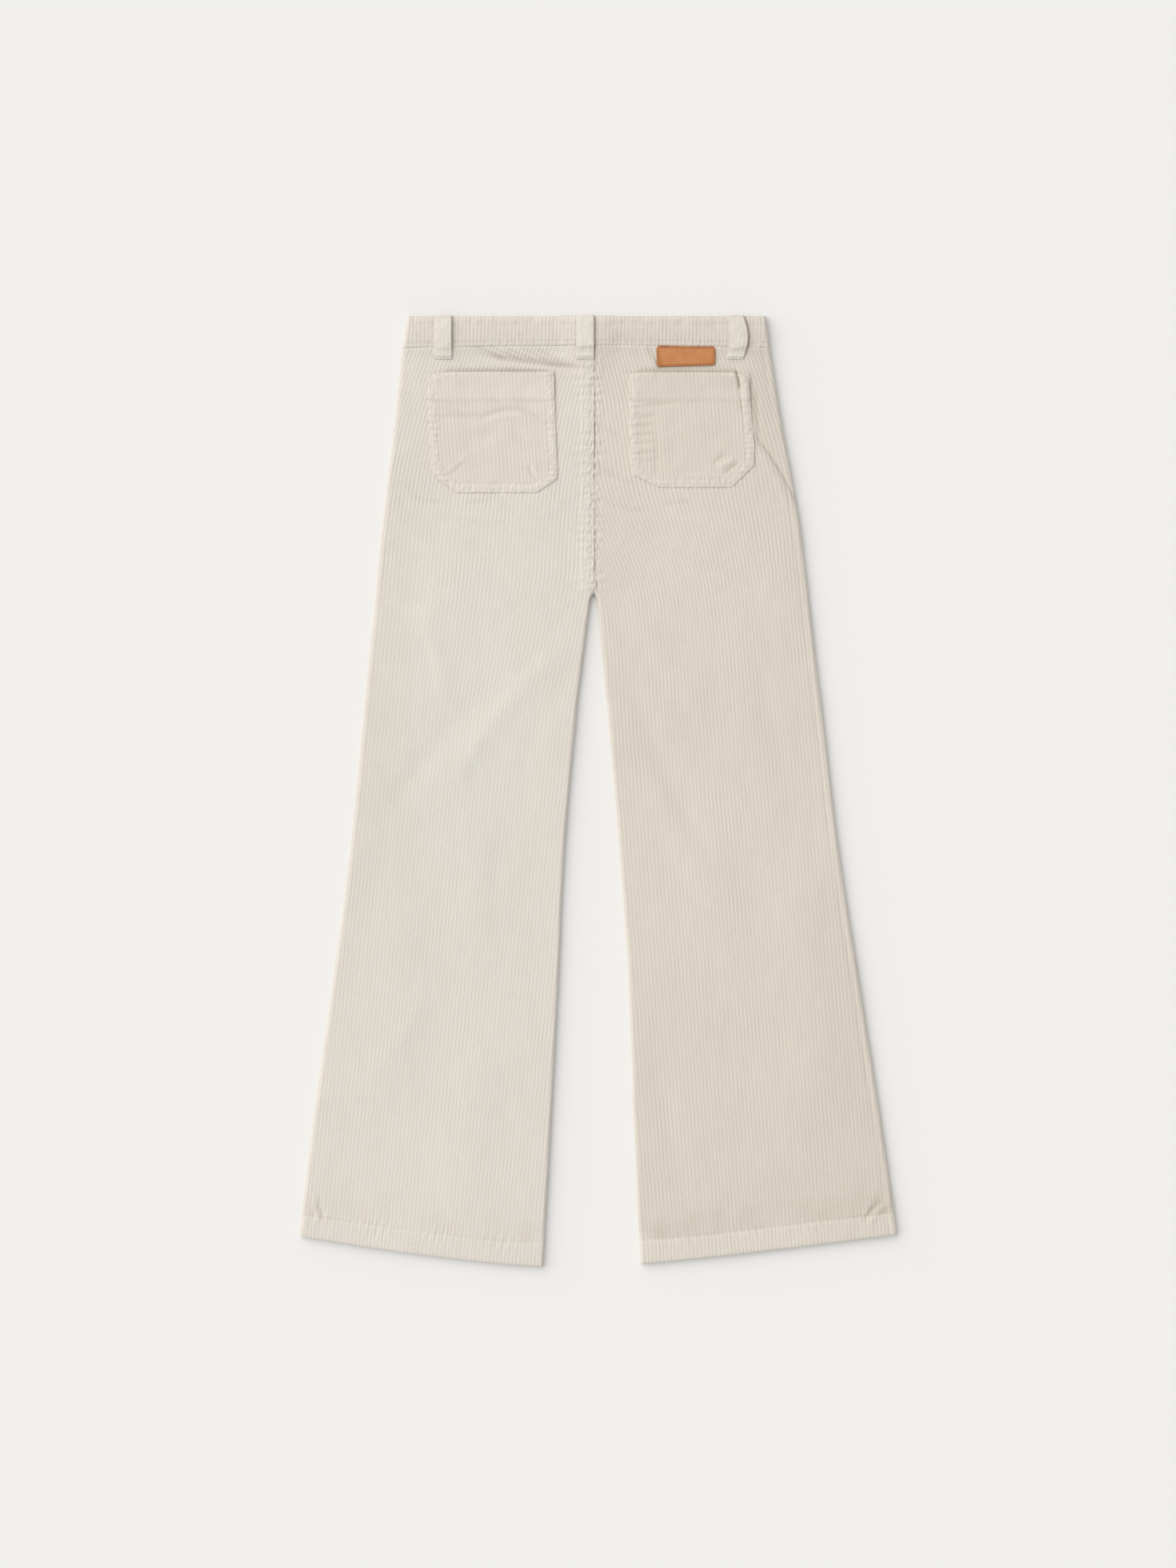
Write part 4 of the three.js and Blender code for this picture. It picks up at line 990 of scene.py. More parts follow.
def band_shade(x, drop):
    """Painted shade on the waistband: mottles along the fold, a darker top edge, stitch line and right
    half, the loops' shadows, and a lighter strip along its lower edge.
    """
    up = band_drop(x) - drop
    shade = 0.05 * smooth(-10, 30, x) + 0.05 * np.clip(uneven(x, 0.7 * drop, 6, 8), 0, 1) * (drop < 22)
    shade = shade + 0.12 * (1 - smooth(0, 1.8, drop)) + loop_shade(x, drop)
    shade = shade - 0.08 * (1 - smooth(0.3, 1.5, up))
    on_line = np.exp(-(((up - BAND_STITCH_UP) / 0.7) ** 2))
    return shade + 0.10 * on_line * (0.6 + 0.4 * ripple(x, 9, 1))


def back_band(name, tone, per_wale=6):
    """The back waistband, as a wall on its wale grid, with wales a little higher than the legs'."""
    rows = np.concatenate([
        [0, 0.25, 0.7, 1.3, 2.2], np.linspace(3.2, 20.2, 20), np.linspace(20.8, BAND_DEPTH, 9),
    ])
    grid = wale_grid(rows, band_place, waist_left, waist_right, *straight_grain(BAND_LEAN), per_wale)
    x, drop = grid["out"], grid["drop"]
    tall = 1.2 * WALE_HEIGHT * band_roundness(x, drop)
    outer = band_height(x, drop) + tall * rib(grid["grain"], drop, 2)
    material = corduroy(f"corduroy_{name}", tone)
    piece = cloth_wall(
        name, grid, 1, outer, band_inner, per_wale, material, shade=band_shade(x, drop)
    )
    declare(BAND_SEEN[0] * BAND_SEEN[1], name)


back_band("waistband_back", (0.975, 0.97, 0.955))


# Front waistband. Two folded strips whose ends lap at the centre: the wearer's right ends in the
# outer tab, which the button closes, and the left in the tab under it.
TAB_LAP = 14.0
BAND_FRONT = 2.1


def front_band(leg, name, per_wale=4):
    """Half of the front waistband, with its wale tops resting on the surface.

    The left half rises over the outer tab where it lies on it.
    """

    def tab_end(drop):
        return -leg.side * TAB_LAP + 0 * drop

    def roundness(x, drop):
        return rounded(waist_end(leg, drop) - leg.side * x)

    def lift(x, drop):
        over = (leg is LEFT) * smooth(-TAB_LAP - 17, -TAB_LAP - 1, x)
        return button_bump(x, drop) + (BAND_FRONT + SEAM_GAP) * over

    def inner(x, drop):
        return mix(FRONT_RIM, lift(x, drop) + BAND_FRONT, roundness(x, drop))

    rows = np.concatenate([
        [0, 0.4, 1.1, 2.0], np.linspace(4, 21.5, 9), BAND_DEPTH - np.array([2.8, 2.0, 1.2, 0.5, 0]),
    ])
    near, far = (waist_left, tab_end) if leg is LEFT else (tab_end, waist_right)
    grid = wale_grid(rows, band_place, near, far, *straight_grain(0), per_wale)
    x, drop = grid["out"], grid["drop"]
    up = band_drop(x) - SEAM_GAP / 2 - drop
    face = lift(x, drop) + WALE_HEIGHT * (1 - rib(grid["grain"], drop, 4))
    face = face + 1.2 * (1 - rounded(drop, 1.6)) + 0.6 * (1 - rounded(up, 1.0))
    face = mix(FRONT_RIM, face - groove(up - BAND_STITCH_UP, 0.8, 0.35), roundness(x, drop))
    piece = cloth_wall(name, grid, 1, face, inner, per_wale, corduroy(f"corduroy_{name}"))
    length = waist_end(leg, 12) + TAB_LAP
    declare(length * BAND_SEEN[1], name)


front_band(LEFT, "waistband_front_left")
front_band(RIGHT, "waistband_front_right")


# Patch pockets. Cut with upright wales, faced at the mouth, their other edges turned under and
# topstitched twice, so the margins stand up and pucker. The mouths gape a little.
POCKET_WALL = 0.65
POCKET_GAP = 0.15
FACING = 24.4
MARGIN = 8.0
EDGE_STITCH = 1.7
MARGIN_STITCH = MARGIN - 0.8
POCKET_LEAN = 4.0
POCKET = [("drop", float), ("near", float), ("far", float)]


def lying_height(x, drop):
    """The wale tops of whatever lies uppermost at a point, without its finest puckers."""
    left, right = (back_height(leg, np.abs(x), drop, False) for leg in (LEFT, RIGHT))
    back = np.where(x < 0, left, right)
    over = np.maximum(band_height(x, drop), back)
    return np.where(drop < band_drop(x) + 0.3, over, back) + WALE_HEIGHT


def level_place(row, out):
    """The rows' place where they run level."""
    return row + 0 * out


class Pocket:
    """One patch pocket: its two edges by drop. It shares its folds with the leg beneath.

    The facing's light is how much less shaded its faced mouth is.
    """

    def __init__(self, name, lies_on, leg, facing_light, edges):
        self.name, self.lies_on, self.leg, self.facing_light = name, lies_on, leg, facing_light
        self.edges = np.array(edges, POCKET)
        self.top, self.bottom = self.edges["drop"][0], self.edges["drop"][-1]

    def near(self, drop):
        return np.interp(drop, self.edges["drop"], self.edges["near"])

    def far(self, drop):
        return np.interp(drop, self.edges["drop"], self.edges["far"])

    def inside(self, out, drop):
        """Distance in from the sides, the cut corners and the bottom, whichever is nearest."""
        return np.minimum(np.minimum(
            (out - self.near(drop)) / np.hypot(1, self.slope("near", drop)),
            (self.far(drop) - out) / np.hypot(1, self.slope("far", drop)),
        ), self.bottom - drop)

    def slope(self, name, drop):
        """How much an edge moves sideways for each millimetre of drop."""
        at, value = self.edges["drop"], self.edges[name]
        i = np.clip(np.searchsorted(at, drop, side="right") - 1, 0, len(at) - 2)
        return (value[i + 1] - value[i]) / (at[i + 1] - at[i])

    def gape(self, out, drop):
        """How far the mouth stands open: most at its middle, and less further down."""
        across = np.clip((out - self.near(drop)) / (self.far(drop) - self.near(drop)), 0, 1)
        return 0.8 * (1 - smooth(0, 16, drop - self.top)) * np.sin(np.pi * across) ** 0.5

    def height(self, out, drop):
        """Outer face between the wales: the panel's height, the pocket's wall and its relief.

        Within the margin the turned-under edge lifts the cloth, and ripples run across it.
        """
        edge, down = self.inside(out, drop), drop - self.top
        on_margin = 1 - smooth(MARGIN - 1.0, MARGIN + 1.6, edge)
        below_facing = smooth(FACING - 2, FACING + 4, down)
        at_bottom = smooth(0.2, 0.8, (drop - self.bottom + 14) / 14)
        ripples = mix(ripple(drop, 4.6, self.leg.side), ripple(out, 5.2, 2), at_bottom)
        ripples = ripples * mix(0.3, 0.12, at_bottom) * mix(0.3, 1, below_facing)
        z = lying_height(self.leg.side * out, drop) + POCKET_GAP + POCKET_WALL + self.gape(out, drop)
        z = z + 0.4 * (1 - smooth(FACING - 0.5, FACING + 0.9, down))
        z = z + groove(down - FACING + 1, 0.9, 0.4) + groove(edge - EDGE_STITCH, 0.7, 0.35)
        z = z + below_facing * groove(edge - MARGIN_STITCH, 0.8, 0.3)
        z = z + on_margin * (0.25 + ripples + 0.2 * uneven(out, drop, 5, 7))
        z = z + 0.16 * uneven(out, drop, 26, 9 + self.leg.side)
        return z - 0.95 * POCKET_WALL * (1 - rounded(np.minimum(edge, down), 3.0))


LEFT_POCKET = Pocket(
    "pocket_left", "back_left", LEFT, facing_light=0.04,
    edges=[
        (47.3, 35.5, 121), (48.2, 33.6, 128), (50, 33.2, 135), (52.5, 33, 138.4), (68, 32.8, 139.4),
        (110, 31.2, 137.9), (130, 30.2, 136), (136, 30.3, 132.5), (139.5, 33.5, 128.2), (148.7, 48, 115),
    ],
)
RIGHT_POCKET = Pocket(
    "pocket_right", "back_right", RIGHT, facing_light=-0.02,
    edges=[
        (47.7, 42, 117), (48.4, 33.5, 121), (50, 30.2, 126), (52.5, 29.8, 130), (69, 29.9, 131.6),
        (88, 30.2, 133.2), (108, 30.6, 135.2), (126, 31, 134.9), (134, 33.5, 126.5),
        (141, 47.5, 119.5), (144.2, 56, 116),
    ],
)


def pocket_shade(pocket, out, drop):
    """Painted shade on a pocket: its creases, the line under its facing, its margin and two dark edges.

    The last of the leg's shades lies on its pocket too. The margin is painted lighter, and the facing by
    its facing's light.
    """
    leg, down, inside = pocket.leg, drop - pocket.top, pocket.inside(out, drop)
    on_facing = 1 - smooth(FACING - 2, FACING + 1, down)
    on_margin = 1 - smooth(MARGIN - 1, MARGIN + 1, inside)
    shade = 0.14 * np.clip(-leg.creases(out, drop), 0, 2) + fold_lift(leg.shades[-1:], out, drop)
    under_facing = np.exp(-((down - FACING + 0.4) ** 2)) * (0.7 + 0.4 * uneven(out, drop, 22, 2))
    margin_line = np.exp(-(((inside - MARGIN) / 0.9) ** 2)) * (1 - on_facing)
    shade = shade + 0.13 * under_facing + 0.06 * margin_line
    right_edge = pocket.far(drop) - out if leg is RIGHT else out - pocket.near(drop)
    shade = shade + 0.12 * (1 - smooth(0, 1.0, right_edge)) + 0.1 * (1 - smooth(0, 1.0, down))
    return shade + 0.01 - np.maximum(pocket.facing_light * on_facing, 0.05 * on_margin)


def patch_pocket(pocket, tone, per_wale=6):
    """A pocket as a wall on a wale grid, close over the panel beneath."""
    leg, top, bottom = pocket.leg, pocket.top, pocket.bottom
    rows = np.concatenate([
        top + np.array([0, 0.3, 0.8, 1.4]), np.arange(top + 2.3, bottom - 1.6, 1.25),
        bottom - np.array([1.4, 0.8, 0.3, 0]),
    ])
    grid = wale_grid(
        rows, level_place, pocket.near, pocket.far, *straight_grain(POCKET_LEAN * leg.side), per_wale
    )
    out, drop = grid["out"], grid["drop"]
    inside, down = pocket.inside(out, drop), drop - top
    tall = WALE_HEIGHT * rounded(np.minimum(inside, down), 1.6)
    tall = tall * mix(0.45, 1, smooth(MARGIN - 1, MARGIN + 1, inside))
    tall = tall * mix(0.75, 1, smooth(FACING - 2, FACING + 1, down))
    outer = pocket.height(out, drop) + tall * rib(grid["grain"], drop, 3)

    def inner(o, d):
        return lying_height(leg.side * o, d) + POCKET_GAP + pocket.gape(o, d)

    material, shade = corduroy(f"corduroy_{pocket.name}", tone), pocket_shade(pocket, out, drop)
    piece = cloth_wall(
        pocket.name, grid, leg.side, outer, inner, per_wale, material, inset=0.05, shade=shade
    )
    area = np.trapz(pocket.far(rows) - pocket.near(rows), rows)
    declare(area, pocket.name)


# The right pocket's darker tone is painted shade, as on the right panel beneath it.
patch_pocket(LEFT_POCKET, (0.995, 0.985, 0.965))
patch_pocket(RIGHT_POCKET, (0.95, 0.94, 0.905))


# Belt loops. Three strips folded in three, with faint wales along them, laid over the band and
# sewn in at the waist's edge and tacked below the seam. Their middles stand a little off the band.
LOOP_LENGTH = 37.5
LOOP_TONE = (0.99, 0.995, 0.985)


def belt_loop(loop, per_wale=6):
    """A loop as a wall on a narrow wale grid that follows its middle line."""
    rows = np.concatenate([
        [-0.4, 0, 0.5, 1.2], np.arange(2, 35, 0.75), LOOP_END - np.array([1.3, 0.7, 0.3, 0]),
    ])
    grid = wale_grid(rows, level_place, loop.near, loop.far, loop.grain_at, loop.out_at, per_wale)
    x, drop, across = grid["out"], grid["drop"], grid["grain"]
    tall = 0.35 * WALE_HEIGHT * rounded(LOOP_HALF - np.abs(across), 3)
    outer = loop.height(x, drop) + tall * rib(across, drop, 6)
    # Painted shade: darker at the right edge and, to hide its lit face, at the left edge; a little darker
    # on the right loop, and lighter at the tacked end.
    shade = 0.3 * smooth(LOOP_HALF - 0.9, LOOP_HALF, across) + 0.05 * (loop.x > 0)
    shade = shade + 0.2 * (1 - smooth(-LOOP_HALF, 1.5 - LOOP_HALF, across)) - 0.06 * smooth(30, 32, drop)
    material = corduroy(f"corduroy_{loop.name}", LOOP_TONE)
    piece = cloth_wall(
        loop.name, grid, 1, outer, loop.under, per_wale, material, inset=0.05, shade=shade
    )
    declare(LOOP_WIDTH * LOOP_LENGTH, loop.name)


for loop in LOOPS:
    belt_loop(loop)


# Leather patch. A bare piece of tan leather with rounded corners, sewn on just under the band's
# seam with brown thread, close to its edge.
PATCH_CORNERS = {"near": 52.8, "far": 102.2, "top": 25.2, "near_end": 43.2, "far_end": 41.6}
PATCH_WIDTH = 49.5
PATCH_DEPTH = 16.5
PATCH_WALL = 1.2
PATCH_ROUND = 2.4
PATCH_STITCH_IN = 1.6


def patch_point(s, t):
    """Place on the trousers of a point of the patch, s across and t down, each from 0 to 1."""
    c = PATCH_CORNERS
    x = mix(c["near"], c["far"], s)
    top = c["top"] + 0.8 * s
    return x, mix(top, mix(c["near_end"], c["far_end"], s), t)


def leather():
    """Tan leather: fine creased grain, cloudy colour, and a darker burnished edge."""
    material = bpy.data.materials.new("tan_leather")
    material.use_nodes = True
    tree = material.node_tree
    hide = tree.nodes["Principled BSDF"]
    hide.inputs["Roughness"].default_value = 0.55
    hide.inputs["Specular IOR Level"].default_value = 0.35
    uv = tree.nodes.new("ShaderNodeUVMap")
    uv.uv_map = "cloth"
    place = tree.nodes.new("ShaderNodeTexCoord").outputs["Object"]
    cloud = noise_node(tree, place, 140.0, (1, 1, 1), 3)
    grain = tree.nodes.new("ShaderNodeTexVoronoi")
    grain.inputs["Scale"].default_value = 1500.0
    join(tree, place, grain.inputs["Vector"])
    colour = mix_colour(tree, "MIX", cloud, (0.50, 0.19, 0.062, 1), (0.62, 0.265, 0.10, 1))
    split = tree.nodes.new("ShaderNodeSeparateXYZ")
    join(tree, uv.outputs["UV"], split.inputs["Vector"])
    edge = math_node(tree, "MULTIPLY_ADD", split.outputs["X"], -1.0)
    edge.node.inputs[2].default_value = 1.0
    edge.node.use_clamp = True
    burnish = math_node(tree, "MULTIPLY", edge, 0.55)
    colour = mix_colour(tree, "MIX", burnish, colour, (0.27, 0.09, 0.03, 1))
    bump = tree.nodes.new("ShaderNodeBump")
    bump.inputs["Strength"].default_value = 0.25
    bump.inputs["Distance"].default_value = 0.0002
    join(tree, grain.outputs["Distance"], bump.inputs["Height"])
    join(tree, colour, hide.inputs["Base Color"])
    join(tree, bump.outputs["Normal"], hide.inputs["Normal"])
    return material


def patch_height(x, drop):
    """Lower face of the patch, just above the highest of the wales that lie near."""
    near = [lying_height(x + aside, drop + below) for aside in (-4, 0, 4) for below in (0, 3)]
    return np.max(near, axis=0) + 0.3


def close_ends(length, count):
    """Places along a length, set closer at both ends, where the edge slopes off."""
    end = np.array([0, 0.3, 0.7, 1.2, 1.8])
    return np.concatenate([end, np.linspace(2.6, length - 2.6, count), length - end[::-1]])


def leather_patch():
    """The patch as a closed plate. Its corners are arcs, and its edges slope off by an arc.

    A point in a corner's square is drawn in towards the arc's centre, by the ratio of the longer
    of its two distances from there to the straight one.
    """
    a, b = np.meshgrid(close_ends(PATCH_WIDTH, 70), close_ends(PATCH_DEPTH, 20))
    corner_a = np.clip(PATCH_ROUND - np.minimum(a, PATCH_WIDTH - a), 0, None)
    corner_b = np.clip(PATCH_ROUND - np.minimum(b, PATCH_DEPTH - b), 0, None)
    reach = np.maximum(corner_a, corner_b) / np.maximum(np.hypot(corner_a, corner_b), 1e-9)
    gone = 1 - np.where((corner_a > 0) & (corner_b > 0), reach, 1)
    a = np.where(a < PATCH_WIDTH / 2, a + corner_a * gone, a - corner_a * gone)
    b = np.where(b < PATCH_DEPTH / 2, b + corner_b * gone, b - corner_b * gone)
    edge_a, edge_b = np.minimum(a, PATCH_WIDTH - a), np.minimum(b, PATCH_DEPTH - b)
    far_a, far_b = np.clip(PATCH_ROUND - edge_a, 0, None), np.clip(PATCH_ROUND - edge_b, 0, None)
    in_corner = (edge_a < PATCH_ROUND) & (edge_b < PATCH_ROUND)
    edge = np.where(in_corner, PATCH_ROUND - np.hypot(far_a, far_b), np.minimum(edge_a, edge_b))
    x, drop = patch_point(a / PATCH_WIDTH, b / PATCH_DEPTH)
    below = patch_height(x, drop)
    top = below + PATCH_WALL - 0.5 * (1 - rounded(edge, 0.9))
    top = top + groove(edge - PATCH_STITCH_IN, 0.5, 0.16) + 0.07 * uneven(x, drop, 19, 2)
    upper = np.stack([seam_x + x, waist_y - drop, top], axis=-1).reshape(-1, 3)
    lower = np.stack([seam_x + x, waist_y - drop, below], axis=-1).reshape(-1, 3)
    f = np.arange(a.size).reshape(a.shape)
    g = f + a.size
    rim = np.concatenate([f[0, :-1], f[:-1, -1], f[-1, :0:-1], f[:0:-1, 0]])
    after = np.roll(rim, -1)
    quads = np.concatenate([
        np.stack([f[:-1, :-1], f[1:, :-1], f[1:, 1:], f[:-1, 1:]], axis=-1).reshape(-1, 4),
        np.stack([g[:-1, :-1], g[:-1, 1:], g[1:, 1:], g[1:, :-1]], axis=-1).reshape(-1, 4),
        np.stack([rim, after, after + a.size, rim + a.size], axis=-1),
    ])
    uv = np.stack([np.tile((edge / 1.5).ravel(), 2), np.tile(b.ravel(), 2)], axis=1)
    piece = mesh_piece("leather_patch", np.concatenate([upper, lower]), quads, uv, leather(), 50)
    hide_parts("leather_patch")


leather_patch()


# Waist button. A cream moulded button with four holes, sewn on the outer tab, so it lies
# underneath. Its rim rests on the surface.
BUTTON_RADIUS = 7.5
BUTTON_WALL = 1.6
HOLE_OUT = 1.55
HOLE_DEEP = 0.95


def button_material():
    """Cream moulded button: smooth, with a cloudy colour."""
    material = bpy.data.materials.new("cream_button")
    material.use_nodes = True
    tree = material.node_tree
    body = tree.nodes["Principled BSDF"]
    body.inputs["Roughness"].default_value = 0.35
    place = tree.nodes.new("ShaderNodeTexCoord").outputs["Object"]
    cloud = noise_node(tree, place, 260.0, (1, 1, 1), 2)
    colour = mix_colour(tree, "MIX", cloud, (0.60, 0.53, 0.42, 1), (0.74, 0.68, 0.57, 1))
    join(tree, colour, body.inputs["Base Color"])
    return material


def waist_button():
    """A disc in polar rings. The front dips inside its rim, and four pits are its holes."""
    turn = np.linspace(0, 2 * np.pi, 65)[:-1]
    rings = np.concatenate([np.linspace(0.02, 5.0, 26), [5.4, 5.8, 6.2, 6.7, 7.1, 7.35, BUTTON_RADIUS]])
    r, angle = np.meshgrid(rings, turn, indexing="ij")
    x, y = r * np.cos(angle), r * np.sin(angle)
    rim = 0.35 * (1 - rounded(BUTTON_RADIUS - r, 0.8))
    face, back = 0.5 * (1 - smooth(4.6, 6.0, r)) + rim, BUTTON_WALL - rim
    for quarter in np.pi * (np.arange(4) + 0.5) / 2:
        hole = np.hypot(x - HOLE_OUT * np.cos(quarter), y - HOLE_OUT * np.sin(quarter))
        face = face + HOLE_DEEP * (1 - smooth(0.55, 0.8, hole))
    middle = (seam_x + BUTTON_AT[0], waist_y - BUTTON_AT[1])
    front = np.stack([middle[0] + x, middle[1] + y, face], axis=-1)
    rear = np.stack([middle[0] + x, middle[1] + y, back], axis=-1)
    f = np.arange(r.size).reshape(r.shape)
    g = f + r.size
    next_f, next_g = np.roll(f, -1, axis=1), np.roll(g, -1, axis=1)
    centre, rear_centre = np.full(len(turn), 2 * r.size), np.full(len(turn), 2 * r.size + 1)
    quads = np.concatenate([
        np.stack([f[:-1], f[1:], next_f[1:], next_f[:-1]], axis=-1).reshape(-1, 4),
        np.stack([g[:-1], next_g[:-1], next_g[1:], g[1:]], axis=-1).reshape(-1, 4),
        np.stack([f[-1], g[-1], next_g[-1], next_f[-1]], axis=-1),
        np.stack([f[0], next_f[0], centre, centre], axis=-1),
        np.stack([next_g[0], g[0], rear_centre, rear_centre], axis=-1),
    ])
    points = np.concatenate([
        front.reshape(-1, 3), rear.reshape(-1, 3), [(*middle, face[0, 0])], [(*middle, back[0, 0])],
    ])
    uv = np.zeros((len(points), 2))
    piece = mesh_piece("waist_button", points, quads, uv, button_material(), 60)
    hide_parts("waist_button")


waist_button()


# Stitching. Cream cotton thread, three stitches to the centimetre, sunk a little into the pile.
# Each seam's stitches are one piece, and bar tacks are short stitches set side by side.
STITCH = 3.0
THREAD = 0.38
SUNK = 0.45


def thread_material(name, colour):
    """Twisted cotton thread: its slanting strands are painted light and dark, as shade falls between them.
    """
    material = bpy.data.materials.new(name)
    material.use_nodes = True
    tree = material.node_tree
    cotton = tree.nodes["Principled BSDF"]
    cotton.inputs["Roughness"].default_value = 0.75
    uv = tree.nodes.new("ShaderNodeUVMap")
    uv.uv_map = "cloth"
    strands = tree.nodes.new("ShaderNodeTexWave")
    strands.inputs["Scale"].default_value = 1.2
    strands.inputs["Distortion"].default_value = 0.6
    strands.bands_direction = "DIAGONAL"
    join(tree, uv.outputs["UV"], strands.inputs["Vector"])
    dark = [0.82 * c for c in colour] + [1]
    twist = mix_colour(tree, "MIX", strands.outputs["Fac"], dark, (*colour, 1))
    join(tree, twist, cotton.inputs["Base Color"])
    return material


CREAM_THREAD = thread_material("cream_thread", (0.84, 0.79, 0.715))
BROWN_THREAD = thread_material("brown_thread", (0.40, 0.175, 0.07))


def stitch_mesh(name, starts, ends, height, thick, material, up=1):
    """Stitches as six-sided threads, each from a start to an end on the cloth.

    The middle stands off the cloth in an arc, upwards or downwards by the sign of up, and both
    ends go in and grow thin. A thread has five rings, and its two ends are closed by quads.
    """
    t = np.array([0, 0.14, 0.5, 0.86, 1])
    rise = np.array([-0.3, 0.15, 0.35, 0.15, -0.3]) * thick
    wide = np.array([0.4, 0.9, 1.0, 0.9, 0.4]) * thick / 2
    line = starts[:, None] + (ends - starts)[:, None] * t[None, :, None]
    z = height(line[..., 0], line[..., 1]) + up * rise
    run = (ends - starts) / np.linalg.norm(ends - starts, axis=1)[:, None]
    turn = np.arange(6) * np.pi / 3
    aside = np.cos(turn)[None, None] * wide[None, :, None]
    lift = np.sin(turn)[None, None] * wide[None, :, None]
    x = line[..., 0][..., None] - run[:, 1][:, None, None] * aside
    drop = line[..., 1][..., None] + run[:, 0][:, None, None] * aside
    points = np.stack([seam_x + x, waist_y - drop, z[..., None] + lift + 0 * x], axis=-1)
    index = np.arange(x.size).reshape(x.shape)
    beside = np.roll(index, -1, axis=2)
    sides = np.stack([index[:, :-1], index[:, 1:], beside[:, 1:], beside[:, :-1]], axis=-1).reshape(-1, 4)
    caps = np.concatenate([index[:, 0][:, [0, 1, 2, 3]], index[:, 0][:, [0, 3, 4, 5]]])
    tails = np.concatenate([index[:, -1][:, [3, 2, 1, 0]], index[:, -1][:, [5, 4, 3, 0]]])
    uv = np.stack(np.broadcast_arrays(turn[None, None] / 2, (t * 6)[None, :, None] + 0 * x), axis=-1)
    quads = np.concatenate([sides, caps, tails])
    mesh_piece(name, points.reshape(-1, 3), quads, uv.reshape(-1, 2), material, 80)


def stitching(name, routes, height, material=CREAM_THREAD, pitch=STITCH, thick=THREAD, up=1):
    """Stitches laid end to end along routes, each a pair of arrays, x and drop.

    A stitch takes up 0.86 of the pitch, and the rest is the gap to the next one.
    """
    starts, ends = [], []
    for x, drop in routes:
        run = np.concatenate([[0], np.cumsum(np.hypot(np.diff(x), np.diff(drop)))])
        at = np.arange(0, run[-1] - pitch, pitch)
        starts.append(np.stack([np.interp(at, run, x), np.interp(at, run, drop)], axis=1))
        to = at + pitch * 0.86
        ends.append(np.stack([np.interp(to, run, x), np.interp(to, run, drop)], axis=1))
    stitch_mesh(name, np.concatenate(starts), np.concatenate(ends), height, thick, material, up)


def bar_tack(name, loop, across=13.5, deep=2.0, pitch=0.42, thick=0.5):
    """A loop's bar tack: short stitches set close, each leaning a little, over its lower end."""
    at = loop.middle(LOOP_END - 3) + np.arange(-across / 2, across / 2, pitch)
    drop = LOOP_END - 2.6 + 0 * at
    starts = np.stack([at, drop - deep / 2], axis=1)
    ends = np.stack([at + 0.25, drop + deep / 2], axis=1)

    def height(x, drop):
        return loop.height(x, drop) + 0.2

    stitch_mesh(name, starts, ends, height, thick, CREAM_THREAD)


def back_seam_height(leg):
    """Height of stitches on a back panel: not quite half way up the wales."""

    def height(x, drop):
        return back_height(leg, leg.side * x, drop) + SUNK * WALE_HEIGHT

    return height


def band_seam_height(x, drop):
    """Height of stitches on the back waistband, as deep in the pile."""
    return band_height(x, drop) + SUNK * WALE_HEIGHT


def hem_route(leg, below):
    """A hem's row of stitches, so far below the turn-up's edge, from seam to seam."""
    inner, outer = leg.hem_line[:2]
    out = np.linspace(inner + 4, outer - 3, 60)
    return leg.side * out, leg.hem(out) - HEM_DEPTH + below


def band_route(start, end, count):
    """The waistband's row of stitches, parallel to its lower seam."""
    x = np.linspace(start, end, count)
    return x, band_drop(x) - BAND_STITCH_UP - SEAM_GAP / 2


seat_drop = np.linspace(38, CROTCH - 5, 200)
seat_rows = [(-out - 0.25 * ripple(seat_drop, 9, out), seat_drop) for out in SEAT_STITCHES]
stitching("stitching_seat", seat_rows, back_seam_height(LEFT))
for leg, name in ((LEFT, "left"), (RIGHT, "right")):
    stitching(f"stitching_hem_back_{name}", [hem_route(leg, 0.8)], back_seam_height(leg))
stitching("stitching_waistband_back", [band_route(-157, 145, 80)], band_seam_height)


# On the fronts the stitches hang under the cloth, and two rows of them turn in at the fly's end.
FLY_STITCH = 16.0
FLY_TURN = 22.0
PRESSED = 0.35


def front_seam_height(leg, pressed):
    """Height of stitches on a front panel, which press up into it."""

    def height(x, drop):
        return front_lift(leg, leg.side * x, drop) + pressed

    return height


def front_band_seam_height(x, drop):
    """Height of stitches on the front waistband, which press up into it too."""
    return button_bump(x, drop) + PRESSED


for leg, name, band in ((LEFT, "left", (-155, -36)), (RIGHT, "right", (-12, 143))):
    stitching(f"stitching_hem_front_{name}", [hem_route(leg, 1.8)], front_seam_height(leg, PRESSED), up=-1)
    stitching(
        f"stitching_waistband_front_{name}", [band_route(*band, 60)], front_band_seam_height, up=-1
    )
quarter = np.linspace(0, np.pi / 2, 30)
fly_routes = [
    (
        np.concatenate([[FLY_STITCH - row], (FLY_STITCH - row) * np.cos(quarter)]),
        np.concatenate([[28], FLY_END - 35 + (FLY_TURN - row) * np.sin(quarter)]),
    )
    for row in (0, 5)
]
stitching("stitching_fly", fly_routes, front_seam_height(RIGHT, 0.2), up=-1)


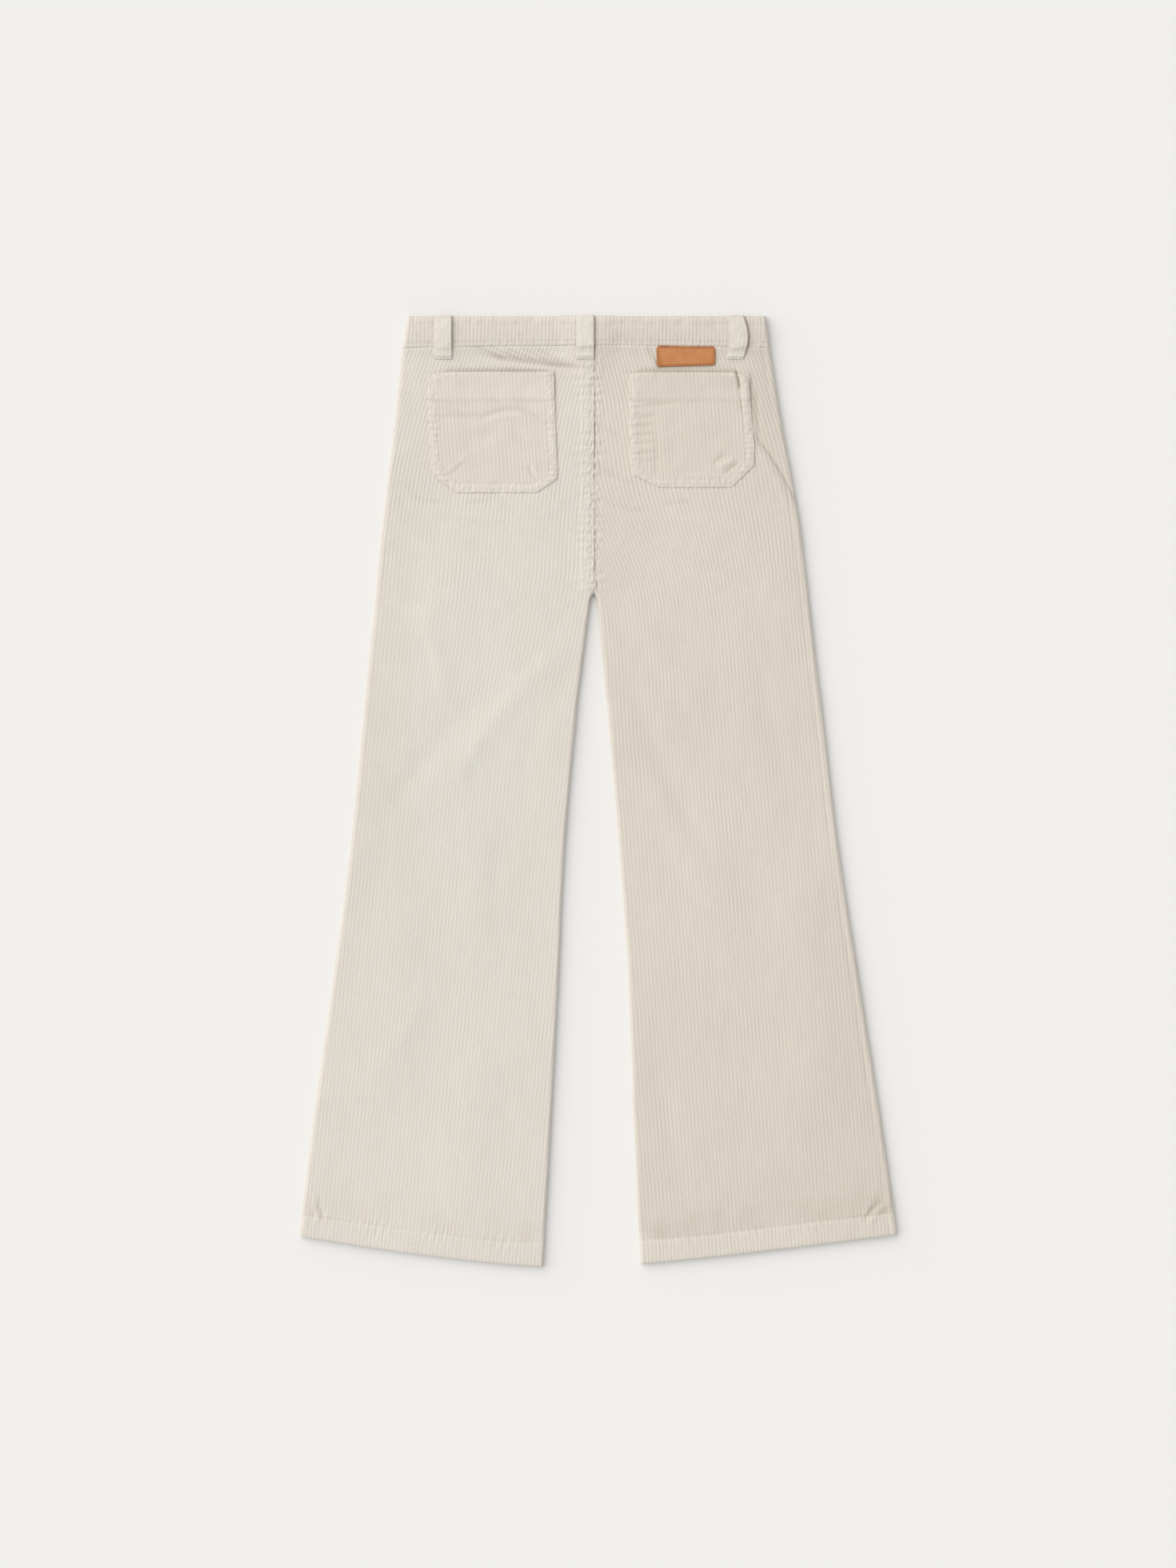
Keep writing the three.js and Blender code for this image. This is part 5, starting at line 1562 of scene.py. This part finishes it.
FACING_SEAM = 70.0


def pocket_routes(pocket):
    """The rows of stitches round a pocket, by its edges drawn in, and the one under its facing."""
    routes = []
    for inset, start in ((EDGE_STITCH, 2.0), (MARGIN_STITCH, FACING - 1)):
        drop = np.linspace(pocket.top + start, pocket.bottom - inset, 90)
        near = pocket.near(drop) + inset * np.hypot(1, pocket.slope("near", drop))
        far = pocket.far(drop) - inset * np.hypot(1, pocket.slope("far", drop))
        near, far = np.minimum(near, far[-1]), np.maximum(far, near[-1])
        x = np.concatenate([near, far[::-1]])
        routes.append((pocket.leg.side * x, np.concatenate([drop, drop[::-1]])))
    near, far = pocket.near(FACING_SEAM), pocket.far(FACING_SEAM)
    out = np.linspace(near + 2, far - 2, 40)
    routes.append((pocket.leg.side * out, pocket.top + FACING - 1 + 0 * out))
    return routes


def pocket_seam_height(pocket):
    """Height of stitches on a pocket, whose margin has low wales."""

    def height(x, drop):
        return pocket.height(pocket.leg.side * x, drop) + 0.3 * WALE_HEIGHT

    return height


for pocket, name in ((LEFT_POCKET, "left"), (RIGHT_POCKET, "right")):
    stitching(f"stitching_pocket_{name}", pocket_routes(pocket), pocket_seam_height(pocket))
for loop, name in zip(LOOPS, ("left", "centre", "right")):
    bar_tack(f"bar_tack_{name}", loop)


def patch_route():
    """The patch's stitch line: its outline drawn in by the same distance, with cut corners."""
    s, t = PATCH_STITCH_IN / PATCH_WIDTH, PATCH_STITCH_IN / PATCH_DEPTH
    corners = [
        (s, 1.5 * t), (1.5 * s, t), (1 - 1.5 * s, t), (1 - s, 1.5 * t),
        (1 - s, 1 - 1.5 * t), (1 - 1.5 * s, 1 - t), (1.5 * s, 1 - t), (s, 1 - 1.5 * t), (s, 1.5 * t),
    ]
    return patch_point(*np.array(corners).T)


def patch_seam_height(x, drop):
    """Height of stitches on the patch: its upper face, into which they press a little."""
    return patch_height(x, drop) + PATCH_WALL - 0.02


stitching("stitching_patch", [patch_route()], patch_seam_height, BROWN_THREAD, pitch=2.2, thick=0.4)
